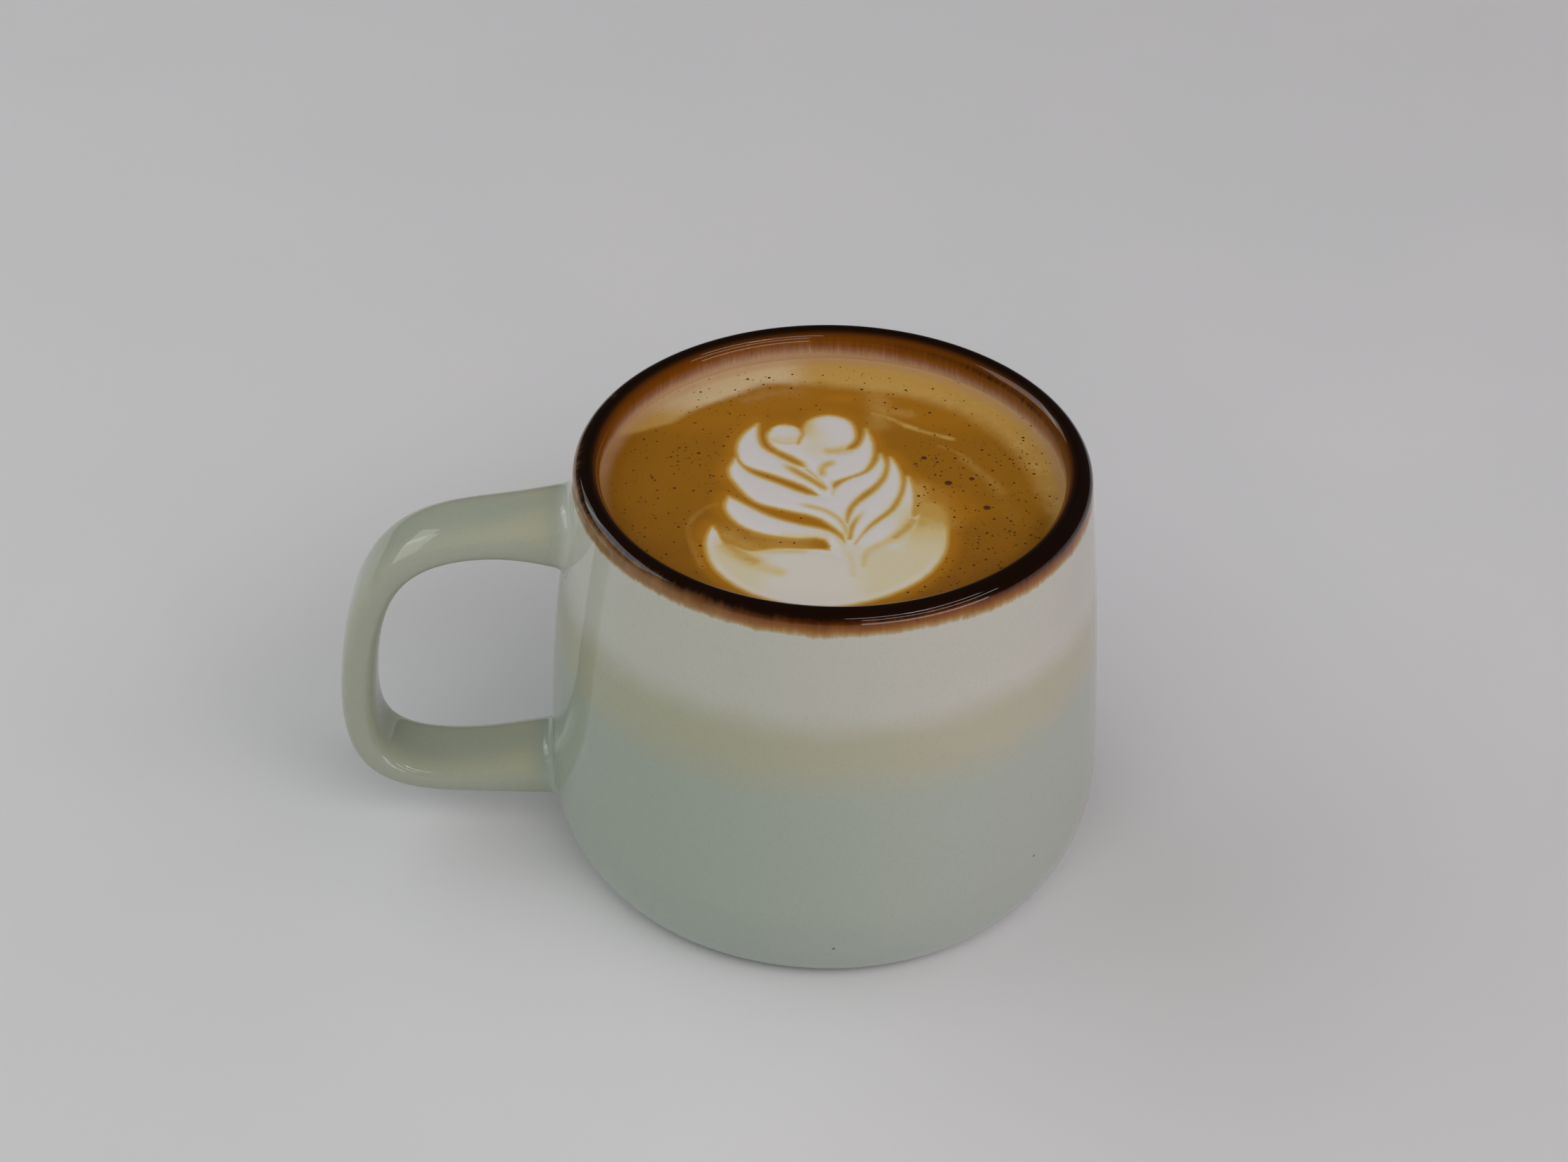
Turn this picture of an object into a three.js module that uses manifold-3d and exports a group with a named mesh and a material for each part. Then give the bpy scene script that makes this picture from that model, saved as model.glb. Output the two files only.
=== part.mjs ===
// A latte: a glazed stoneware mug with a looped handle, the coffee in it up to its level,
// and the milk foam leaf figure that lies flush in the surface of the coffee.
// Millimetres, +Z up. The handle points along -X. The origin is on the floor, under the
// middle of the whole outline of mug and handle.
import * as THREE from 'three';
import { mergeVertices } from 'three/addons/utils/BufferGeometryUtils.js';
import Module from 'manifold-3d';

// Driving dimensions of the mug body
const MUG_HEIGHT = 75;
const RIM_RADIUS = 42;
const LIP_TUBE = 2.2;
const BELLY_RADIUS = 46.1;
const BELLY_HEIGHT = 16.8;
const WALL_BULGE = 0.48;
const FOOT_RADIUS = 37.6;
const FOOT_RING_WIDTH = 5.6;
const FOOT_RECESS = 1.2;
const FOOT_RECESS_SLOPE = 1.4;
const HANDLE_SIDE_SWELL = 1.1;
const SWELL_TOP_DEPTH = 5;
const SWELL_FULL_DEPTH = 34;

// Driving dimensions of the hollow
const WALL = 4.2;
const FLOOR = 5;
const INNER_CORNER_WIDTH = 14;
const INNER_CORNER_HEIGHT = 15;

// Driving dimensions of the handle, as distances from the mug's axis and depths below the rim
const TOP_JOINT = { reach: 38.5, depth: 13.3, rise: 0.045, pull: 27.3 };
const GRIP = { reach: 78.9, depth: 41.8, lean: 0.1, pullUp: 28.4, pullDown: 21.6 };
const LOW_JOINT = { reach: 45, depth: 61.4, rise: 0.1, pull: 27.5 };
const ROOT_LENGTH = 2.5;
const ROOT_TRIM = 1.8;
const GRIP_THICKNESS = 6;
const GRIP_WIDTH = 14;
const TOP_JOINT_THICKNESS = 12;
const TOP_JOINT_WIDTH = 16.4;
const LOW_JOINT_THICKNESS = 8.8;
const LOW_JOINT_WIDTH = 15.4;
const JOINT_FLARE_LENGTH = 11;
const SECTION_SQUARENESS = 2.8;

// Driving dimensions of the drink
const COFFEE_DEPTH = 5.4;
const FOAM_THICKNESS = 1.2;
const GAP = 0.3;
const CUT_CLEARANCE = 1;

// Fineness of the facets
const AROUND = 64;
const WALL_STEPS = 10;
const FOOT_CORNER_STEPS = 8;
const HOLLOW_CORNER_STEPS = 6;
const LIP_STEPS = 8;
const HOLLOW_STEPS = 6;
const HANDLE_STEPS = 34;
const SECTION_SIDES = 20;
const LEAF_STEPS = 3;
const MERGE_DISTANCE = 1e-4;

// The foam figure: for each leaf its sharp tip, the outer edge down to the root on the stem,
// and the inner edge back up, as [x, y] from the mug's axis, with +Y away from the drinker
const LEAVES = {
  heart: {
    tip: [-1.2, -0.4],
    outer: [[-3.4, 5.6], [-6.2, 8.8], [-9.6, 11.8], [-10.2, 15.6], [-7.3, 18], [-4.7, 15.8]],
    root: [-4.4, 15.6],
    inner: [[-3.4, 19.1], [0, 20.8], [3.5, 18.9], [4.2, 14], [2.2, 11], [-0.2, 9.2], [-1.4, 4]],
  },
  topRight: {
    tip: [6.1, 16.6],
    outer: [[7, 13], [6.9, 8.8], [5.4, 4.6], [2.4, 2.6], [0, 1]],
    root: [-0.4, -2.2],
    inner: [[-1.3, 3], [-0.9, 7.6], [1.4, 9.6], [4.4, 11.2], [5.6, 14]],
  },
  topLeft: {
    tip: [-11.9, 18.3],
    outer: [[-14.3, 15.2], [-15.4, 11], [-14.4, 6.4], [-9.6, 3.5], [-4.8, 0.5]],
    root: [-1, -3.2],
    inner: [[-1.9, 0.6], [-4.8, 5], [-8.6, 8.4], [-11.2, 11.4], [-11.9, 14.6]],
  },
  secondLeft: {
    tip: [-15.7, 8.3],
    outer: [[-16.8, 4.4], [-15.4, 0.4], [-12.4, -4.2], [-7.4, -6.5], [-2, -8.9]],
    root: [2.2, -14.6],
    inner: [[0.6, -7], [-0.6, -3], [-4.2, -2], [-9, 1.1], [-13.4, 4.2]],
  },
  thirdLeft: {
    tip: [-16.8, -2.6],
    outer: [[-17.4, -5.8], [-15.4, -10.1], [-11.4, -12.9], [-6, -14.1], [-1.6, -14.4]],
    root: [2.6, -20.5],
    inner: [[1.6, -15.6], [-0.8, -12.2], [-6, -10.2], [-10.4, -8], [-14, -5]],
  },
  secondRight: {
    tip: [8.2, 9.4],
    outer: [[8.8, 6], [7.4, 1.6], [4.4, -2.2], [2.3, -6]],
    root: [1.9, -11.5],
    inner: [[0.5, -6], [0.3, -1], [2.4, 2], [5.8, 4.2], [7.5, 7]],
  },
  thirdRight: {
    tip: [9.8, 8.4],
    outer: [[11.1, 4.4], [10.9, -0.8], [8.9, -6], [5.4, -10.6]],
    root: [2.6, -17],
    inner: [[2, -11], [3.4, -5.8], [6.6, -1.8], [8.9, 2.2], [9.6, 5.8]],
  },
  fourthRight: {
    tip: [12.4, 2.8],
    outer: [[13.2, -1.8], [12.5, -7.2], [10.2, -12.2], [6.4, -16]],
    root: [2.8, -20.5],
    inner: [[3.2, -15.6], [6.2, -10.8], [9.8, -6.6], [11.6, -1.8]],
  },
  base: {
    tip: [-19.4, -10.9],
    outer: [[-20.5, -15.4], [-18.9, -22.4], [-13.2, -28.7], [-4, -32.2], [5, -30.5], [13, -25.2],
      [17.1, -18.2]],
    root: [17.9, -11.4],
    inner: [[16.6, -5.8], [14.4, -6.2], [12, -12], [6.4, -17.2], [1.4, -19.4], [-2.4, -17.6],
      [-9.6, -17.6], [-14.4, -19.2], [-17.8, -16]],
  },
  stem: {
    tip: [-1.2, 3.4],
    outer: [[-1.2, -1.6], [-0.4, -6], [0.7, -10.6], [1.5, -15], [1.5, -19]],
    root: [2.5, -22],
    inner: [[3.5, -19], [3.1, -15], [2.3, -10.6], [1.3, -6], [0.3, -1.6]],
  },
};

const FINISHES = {
  glaze: { color: 0x96998e, roughness: 0.12 },
  crema: { color: 0x845210, roughness: 0.35 },
  foam: { color: 0xb9b3a6, roughness: 0.5 },
};

const wasm = await Module();
wasm.setup();

function solidOf(geometry) {
  const bare = geometry.clone();
  bare.deleteAttribute('normal');
  bare.deleteAttribute('uv');
  const merged = mergeVertices(bare, MERGE_DISTANCE);
  return new wasm.Manifold(new wasm.Mesh({
    numProp: 3,
    vertProperties: new Float32Array(merged.attributes.position.array),
    triVerts: new Uint32Array(merged.index.array),
  }));
}

function geometryOf(solid) {
  const mesh = solid.getMesh();
  const geometry = new THREE.BufferGeometry();
  geometry.setAttribute('position', new THREE.BufferAttribute(mesh.vertProperties, 3));
  geometry.setIndex(new THREE.BufferAttribute(mesh.triVerts, 1));
  geometry.computeVertexNormals();
  return geometry;
}

// Smooth step from 0 at low to 1 at high
function ease(low, high, value) {
  const t = THREE.MathUtils.clamp((value - low) / (high - low), 0, 1);
  return t * t * (3 - 2 * t);
}

// Outer radius of the wall at a height between the belly and the lip
function wallRadius(height) {
  const lipHeight = MUG_HEIGHT - LIP_TUBE;
  const up = (height - BELLY_HEIGHT) / (lipHeight - BELLY_HEIGHT);
  const bulge = WALL_BULGE * 4 * up * (1 - up);
  return THREE.MathUtils.lerp(BELLY_RADIUS, RIM_RADIUS, up) + bulge;
}

// Quarter of an ellipse from a floor up to the belly, inside or outside
function cornerPoints(footRadius, floorHeight, width, rise, steps) {
  const points = [];
  for (let i = 0; i <= steps; i += 1) {
    const angle = (i / steps) * Math.PI / 2;
    const x = footRadius + width * Math.sin(angle);
    const z = floorHeight + rise * (1 - Math.cos(angle));
    points.push(new THREE.Vector2(x, z));
  }
  return points;
}

function wallPoints(lowHeight, steps) {
  const points = [];
  const highHeight = MUG_HEIGHT - LIP_TUBE;
  for (let i = 1; i <= steps; i += 1) {
    const height = THREE.MathUtils.lerp(lowHeight, highHeight, i / steps);
    points.push(new THREE.Vector2(wallRadius(height), height));
  }
  return points;
}

// A solid of revolution about Z from [radius, height] points that start and end on the axis
function turned(points) {
  const lathe = new THREE.LatheGeometry(points, AROUND, Math.PI / AROUND);
  lathe.rotateX(Math.PI / 2);
  return lathe;
}

// The outer points of the turned wall stand out a little further on the handle's side
function swellTowardHandle(geometry, pointCount, outerCount) {
  const position = geometry.attributes.position;
  for (let i = 0; i < position.count; i += 1) {
    const x = position.getX(i);
    const y = position.getY(i);
    const radius = Math.hypot(x, y);
    if (i % pointCount < outerCount && radius > 0) {
      const depth = MUG_HEIGHT - position.getZ(i);
      const facing = Math.max(0, -x / radius) ** 2;
      const share = ease(SWELL_TOP_DEPTH, SWELL_FULL_DEPTH, depth) * ease(0, FOOT_RADIUS, radius);
      const factor = 1 + HANDLE_SIDE_SWELL * facing * share / radius;
      position.setXY(i, x * factor, y * factor);
    }
  }
  return geometry;
}

// The hollow's outline, drawn in by an inset, from the middle of its floor up to the lip
function hollowOutline(inset) {
  const innerBelly = BELLY_RADIUS - WALL - inset;
  const innerFoot = innerBelly - INNER_CORNER_WIDTH;
  const bellyHeight = FLOOR + INNER_CORNER_HEIGHT;
  const lipInner = RIM_RADIUS - 2 * LIP_TUBE - inset;
  const points = [
    new THREE.Vector2(0, FLOOR + inset),
    ...cornerPoints(innerFoot, FLOOR + inset, INNER_CORNER_WIDTH, INNER_CORNER_HEIGHT - inset,
      HOLLOW_CORNER_STEPS),
  ];
  for (let i = 1; i <= HOLLOW_STEPS; i += 1) {
    const up = i / HOLLOW_STEPS;
    const bulge = WALL_BULGE * 4 * up * (1 - up);
    const height = THREE.MathUtils.lerp(bellyHeight, MUG_HEIGHT - LIP_TUBE, up);
    points.push(new THREE.Vector2(THREE.MathUtils.lerp(innerBelly, lipInner, up) + bulge, height));
  }
  return points;
}

// The turned body: recess, foot ring, belly, wall and lip, then down the hollow to its floor
function bodySolid() {
  const ringInner = FOOT_RADIUS - FOOT_RING_WIDTH;
  const lipCentre = RIM_RADIUS - LIP_TUBE;
  const outer = [
    new THREE.Vector2(0, FOOT_RECESS),
    new THREE.Vector2(ringInner - FOOT_RECESS_SLOPE, FOOT_RECESS),
    new THREE.Vector2(ringInner, 0),
    ...cornerPoints(FOOT_RADIUS, 0, BELLY_RADIUS - FOOT_RADIUS, BELLY_HEIGHT, FOOT_CORNER_STEPS),
    ...wallPoints(BELLY_HEIGHT, WALL_STEPS),
  ];
  const lip = [];
  for (let i = 1; i < LIP_STEPS; i += 1) {
    const angle = (i / LIP_STEPS) * Math.PI;
    const x = lipCentre + LIP_TUBE * Math.cos(angle);
    lip.push(new THREE.Vector2(x, MUG_HEIGHT - LIP_TUBE + LIP_TUBE * Math.sin(angle)));
  }
  const points = [...outer, ...lip, ...hollowOutline(0).reverse()];
  return solidOf(swellTowardHandle(turned(points), points.length, outer.length));
}

// A point of the handle's middle line, in the plane through the mug's axis
function onHandle(reach, depth) {
  return new THREE.Vector3(-reach, 0, MUG_HEIGHT - depth);
}

function handlePath() {
  const top = onHandle(TOP_JOINT.reach, TOP_JOINT.depth);
  const grip = onHandle(GRIP.reach, GRIP.depth);
  const low = onHandle(LOW_JOINT.reach, LOW_JOINT.depth);
  const outward = new THREE.Vector3(-1, 0, TOP_JOINT.rise).normalize();
  const down = new THREE.Vector3(-GRIP.lean, 0, -1).normalize();
  const inward = new THREE.Vector3(1, 0, LOW_JOINT.rise).normalize();
  const afterTop = top.clone().addScaledVector(outward, TOP_JOINT.pull);
  const beforeGrip = grip.clone().addScaledVector(down, -GRIP.pullUp);
  const afterGrip = grip.clone().addScaledVector(down, GRIP.pullDown);
  const beforeLow = low.clone().addScaledVector(inward, -LOW_JOINT.pull);
  const path = new THREE.CurvePath();
  path.add(new THREE.CubicBezierCurve3(top, afterTop, beforeGrip, grip));
  path.add(new THREE.CubicBezierCurve3(grip, afterGrip, beforeLow, low));
  path.add(new THREE.LineCurve3(low, low.clone().addScaledVector(inward, ROOT_LENGTH)));
  return path;
}

// A power of the sine or cosine that keeps its sign, for a rounded rectangle
function squared(value) {
  return Math.sign(value) * Math.abs(value) ** (2 / SECTION_SQUARENESS);
}

function handleSolid() {
  const path = handlePath();
  const length = path.getLength();
  const acrossAxis = new THREE.Vector3(0, 1, 0);
  const vertices = [];
  const faces = [];
  for (let i = 0; i <= HANDLE_STEPS; i += 1) {
    const along = THREE.MathUtils.lerp(ROOT_TRIM, length, i / HANDLE_STEPS);
    const fromTop = Math.exp(-((along / JOINT_FLARE_LENGTH) ** 2));
    const toLow = Math.max(0, length - ROOT_LENGTH - along);
    const fromLow = Math.exp(-((toLow / JOINT_FLARE_LENGTH) ** 2));
    const thickness = GRIP_THICKNESS + (TOP_JOINT_THICKNESS - GRIP_THICKNESS) * fromTop
      + (LOW_JOINT_THICKNESS - GRIP_THICKNESS) * fromLow;
    const width = GRIP_WIDTH + (TOP_JOINT_WIDTH - GRIP_WIDTH) * fromTop
      + (LOW_JOINT_WIDTH - GRIP_WIDTH) * fromLow;
    const centre = path.getPoint(along / length);
    const normal = path.getTangent(along / length).cross(acrossAxis).normalize();
    for (let side = 0; side < SECTION_SIDES; side += 1) {
      const angle = (side / SECTION_SIDES) * 2 * Math.PI;
      const point = centre.clone()
        .addScaledVector(normal, squared(Math.cos(angle)) * thickness / 2)
        .addScaledVector(acrossAxis, squared(Math.sin(angle)) * width / 2);
      vertices.push(point.x, point.y, point.z);
    }
  }
  for (let i = 0; i < HANDLE_STEPS; i += 1) {
    for (let side = 0; side < SECTION_SIDES; side += 1) {
      const next = (side + 1) % SECTION_SIDES;
      const a = i * SECTION_SIDES + side;
      const b = i * SECTION_SIDES + next;
      faces.push(a, a + SECTION_SIDES, b, b, a + SECTION_SIDES, b + SECTION_SIDES);
    }
  }
  const lastRing = HANDLE_STEPS * SECTION_SIDES;
  for (let side = 1; side < SECTION_SIDES - 1; side += 1) {
    faces.push(0, side, side + 1);
    faces.push(lastRing, lastRing + side + 1, lastRing + side);
  }
  return new wasm.Manifold(new wasm.Mesh({
    numProp: 3,
    vertProperties: new Float32Array(vertices),
    triVerts: new Uint32Array(faces),
  }));
}

function mugSolid() {
  return bodySolid().add(handleSolid());
}

// A leaf's outline as 2-D points, moved out by grow along its normals
function leafOutline(leaf, grow) {
  const vector = ([x, y]) => new THREE.Vector2(x, y);
  const outward = [leaf.tip, ...leaf.outer, leaf.root].map(vector);
  const back = [leaf.root, ...leaf.inner, leaf.tip].map(vector);
  const points = [
    ...new THREE.SplineCurve(outward).getPoints((outward.length - 1) * LEAF_STEPS).slice(0, -1),
    ...new THREE.SplineCurve(back).getPoints((back.length - 1) * LEAF_STEPS).slice(0, -1),
  ];
  const turn = Math.sign(THREE.ShapeUtils.area(points));
  return points.map((point, i) => {
    const before = points[(i + points.length - 1) % points.length];
    const after = points[(i + 1) % points.length];
    const run = after.clone().sub(before).normalize();
    return new THREE.Vector2(point.x + turn * run.y * grow, point.y - turn * run.x * grow);
  });
}

// The whole figure as a flat plate between two heights
function figureSolid(grow, lowHeight, highHeight) {
  let figure = null;
  for (const leaf of Object.values(LEAVES)) {
    const plate = new THREE.ExtrudeGeometry(new THREE.Shape(leafOutline(leaf, grow)), {
      depth: highHeight - lowHeight,
      bevelEnabled: false,
    });
    plate.translate(0, 0, lowHeight);
    const solid = solidOf(plate);
    figure = figure ? figure.add(solid) : solid;
  }
  return figure;
}

const COFFEE_LEVEL = MUG_HEIGHT - COFFEE_DEPTH;

function coffeeSolid() {
  const outline = hollowOutline(GAP);
  const below = outline.filter((point) => point.y < COFFEE_LEVEL - CUT_CLEARANCE);
  const low = below[below.length - 1];
  const high = outline[below.length];
  const share = (COFFEE_LEVEL - low.y) / (high.y - low.y);
  const edge = new THREE.Vector2(THREE.MathUtils.lerp(low.x, high.x, share), COFFEE_LEVEL);
  const drink = solidOf(turned([...below, edge, new THREE.Vector2(0, COFFEE_LEVEL)]));
  const pocketFloor = COFFEE_LEVEL - FOAM_THICKNESS - GAP;
  return drink.subtract(figureSolid(GAP, pocketFloor, COFFEE_LEVEL + CUT_CLEARANCE));
}

function foamSolid() {
  return figureSolid(0, COFFEE_LEVEL - FOAM_THICKNESS, COFFEE_LEVEL);
}

function makeMesh(name, solid, finish) {
  const material = new THREE.MeshStandardMaterial({ ...finish, metalness: 0 });
  const mesh = new THREE.Mesh(geometryOf(solid), material);
  mesh.name = name;
  return mesh;
}

const latte = new THREE.Group();
latte.add(makeMesh('mug', mugSolid(), FINISHES.glaze));
latte.add(makeMesh('coffee', coffeeSolid(), FINISHES.crema));
latte.add(makeMesh('milk_foam', foamSolid(), FINISHES.foam));

const whole = new THREE.Box3().setFromObject(latte);
latte.position.x = -(whole.min.x + whole.max.x) / 2;

export default latte;
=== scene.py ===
"""The looks of a latte: glazed stoneware mug, coffee with its crema, and the milk foam leaf figure."""
import logging
import math
from dataclasses import dataclass, field
from enum import Enum
from functools import reduce
from operator import add
from typing import Any, Optional, Sequence

import bpy
import numpy as np
from mathutils import Matrix, Vector
from mathutils.geometry import delaunay_2d_cdt


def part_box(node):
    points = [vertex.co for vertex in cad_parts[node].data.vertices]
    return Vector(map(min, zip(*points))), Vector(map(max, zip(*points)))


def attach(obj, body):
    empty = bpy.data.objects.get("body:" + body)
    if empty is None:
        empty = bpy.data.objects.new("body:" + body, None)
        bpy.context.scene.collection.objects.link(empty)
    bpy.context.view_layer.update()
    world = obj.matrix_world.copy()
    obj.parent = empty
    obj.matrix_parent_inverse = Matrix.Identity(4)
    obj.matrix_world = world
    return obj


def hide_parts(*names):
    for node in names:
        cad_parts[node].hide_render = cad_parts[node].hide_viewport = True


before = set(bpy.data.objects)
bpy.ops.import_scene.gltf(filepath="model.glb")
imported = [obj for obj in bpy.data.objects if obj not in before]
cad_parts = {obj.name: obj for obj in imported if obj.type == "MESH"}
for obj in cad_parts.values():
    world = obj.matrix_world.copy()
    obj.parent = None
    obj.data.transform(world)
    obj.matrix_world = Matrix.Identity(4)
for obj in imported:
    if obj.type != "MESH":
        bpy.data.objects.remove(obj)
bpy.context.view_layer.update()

MM = 0.001
SEED = 41

# The mug's axis and levels, in mm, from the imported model
COFFEE_LOW, COFFEE_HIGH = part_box("coffee")
MUG_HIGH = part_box("mug")[1]
FOAM_LOW, FOAM_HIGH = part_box("milk_foam")
AXIS_X = (COFFEE_LOW.x + COFFEE_HIGH.x) / 2 / MM
RIM_HEIGHT = MUG_HIGH.z / MM
LEVEL = FOAM_HIGH.z / MM
FOAM_DEPTH = (FOAM_HIGH.z - FOAM_LOW.z) / MM

# The mug's lip, in mm: its outer radius, and the radius of its rounding
RIM_RADIUS = 42.0
LIP_TUBE = 2.2

# Samples between two points of a stroke, and how many half widths away it still shows
STROKE_STEPS = 6
STROKE_REACH = 4

# The photograph's frame, in pixels
PHOTO_WIDTH = 2229
PHOTO_HEIGHT = 1652

log = logging.getLogger("latte")

Colour = tuple[float, float, float]
Point = tuple[float, float]
Span = tuple[float, float]

WHITE: Colour = (1.0, 1.0, 1.0)


def smooth_step(low: float, high: float, value: Any) -> Any:
    """Smooth step from 0 at low to 1 at high.

    Args:
        low: value where the step starts.
        high: value where the step ends.
        value: number or array.

    Returns:
        The eased share, of the same shape as value.
    """
    share = np.clip((value - low) / (high - low), 0.0, 1.0)
    return share * share * (3.0 - 2.0 * share)


def spline_points(points: Sequence[Point], steps: int) -> np.ndarray:
    """Catmull-Rom curve through points.

    Args:
        points: the points that the curve goes through.
        steps: samples for each span.

    Returns:
        An array of 2-D points.
    """
    knots = np.array(points, float)
    padded = np.vstack([2 * knots[0] - knots[1], knots, 2 * knots[-1] - knots[-2]])
    samples = []
    for index in range(1, len(padded) - 2):
        before, start, end, after = padded[index - 1:index + 3]
        for t in np.linspace(0, 1, steps, endpoint=False):
            samples.append(0.5 * (
                2 * start + (end - before) * t
                + (2 * before - 5 * start + 4 * end - after) * t ** 2
                + (3 * start - before - 3 * end + after) * t ** 3
            ))
    samples.append(padded[-2])
    return np.array(samples)


def linked(name: str, mesh: bpy.types.Mesh) -> bpy.types.Object:
    """Links a mesh to the scene as an object with smooth faces.

    Args:
        name: the object's name.
        mesh: its mesh.

    Returns:
        The new object.
    """
    made = bpy.data.objects.new(name, mesh)
    bpy.context.scene.collection.objects.link(made)
    for polygon in mesh.polygons:
        polygon.use_smooth = True
    return made


def mesh_object(name: str, points: np.ndarray, faces: Sequence[Sequence[int]]) -> bpy.types.Object:
    """Makes a mesh from points and faces, and links it.

    Args:
        name: the object's name.
        points: vertices in metres.
        faces: vertex numbers of each face.

    Returns:
        The new object.
    """
    mesh = bpy.data.meshes.new(name)
    mesh.from_pydata(points.tolist(), [], [list(map(int, face)) for face in faces])
    mesh.update()
    return linked(name, mesh)


def stacked_rings(count: int, size: int, start: int = 0) -> list[range]:
    """Point numbers of rings of one size that are kept one after the other."""
    return [range(start + ring * size, start + (ring + 1) * size) for ring in range(count)]


def ring_quads(first: Sequence[int], second: Sequence[int],
               along: bool = True) -> list[tuple[int, int, int, int]]:
    """Quads between two closed rings of points.

    Args:
        first: point numbers of one ring.
        second: point numbers of the other ring, in the same order.
        along: whether a quad starts along the first ring or, with its front turned round, across
            to the second.

    Returns:
        One quad for each point of a ring.
    """
    after = [*range(1, len(first)), 0]
    if along:
        return [(first[k], first[n], second[n], second[k]) for k, n in enumerate(after)]
    return [(first[k], second[k], second[n], first[n]) for k, n in enumerate(after)]


def store(target: bpy.types.Object, name: str, values: np.ndarray) -> None:
    """Keeps one number for each vertex, which the materials read by name.

    Args:
        target: the mesh object.
        name: the attribute's name.
        values: one number a vertex.
    """
    attribute = target.data.attributes.new(name, "FLOAT", "POINT")
    attribute.data.foreach_set("value", np.asarray(values, np.float32))


def vertices_of(target: bpy.types.Object) -> np.ndarray:
    """The vertices of a mesh object, in metres, one a row."""
    flat = np.empty(len(target.data.vertices) * 3, np.float64)
    target.data.vertices.foreach_get("co", flat)
    return flat.reshape(-1, 3)


class Wire:
    """A shader socket that takes part in Python expressions, as a number, a colour or a vector."""

    def __init__(self, sheet: "Sheet", socket: bpy.types.NodeSocket) -> None:
        """Wraps an output socket of one of the sheet's nodes."""
        self.sheet = sheet
        self.socket = socket

    def output(self, name: str) -> "Wire":
        """Another output of the same node."""
        return Wire(self.sheet, self.socket.node.outputs[name])

    def join(self, operation: str, left: Any, right: Any) -> "Wire":
        """Adds the node that joins two operands.

        Args:
            operation: ADD, SUBTRACT, MULTIPLY or DIVIDE.
            left: a wire, number or tuple.
            right: a wire, number or tuple.

        Returns:
            The result's wire.
        """
        kinds = {part.socket.type for part in (left, right) if isinstance(part, Wire)}
        if "RGBA" in kinds:
            settings = {"data_type": "RGBA", "blend_type": operation}
            return self.sheet.node("ShaderNodeMix", settings, {
                Sheet.MIX_FACTOR: 1.0,
                Sheet.MIX_FIRST: left,
                Sheet.MIX_SECOND: right,
            })
        kind = "ShaderNodeVectorMath" if "VECTOR" in kinds else "ShaderNodeMath"
        return self.sheet.node(kind, {"operation": operation}, {0: left, 1: right})

    def __add__(self, other: Any) -> "Wire":
        """self + other."""
        return self.join("ADD", self, other)

    def __radd__(self, other: Any) -> "Wire":
        """other + self."""
        return self.join("ADD", other, self)

    def __sub__(self, other: Any) -> "Wire":
        """self - other."""
        return self.join("SUBTRACT", self, other)

    def __rsub__(self, other: Any) -> "Wire":
        """other - self."""
        return self.join("SUBTRACT", other, self)

    def __mul__(self, other: Any) -> "Wire":
        """self * other."""
        return self.join("MULTIPLY", self, other)

    def __rmul__(self, other: Any) -> "Wire":
        """other * self."""
        return self.join("MULTIPLY", other, self)

    def __truediv__(self, other: Any) -> "Wire":
        """self / other."""
        return self.join("DIVIDE", self, other)

    def __rtruediv__(self, other: Any) -> "Wire":
        """other / self."""
        return self.join("DIVIDE", other, self)


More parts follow.
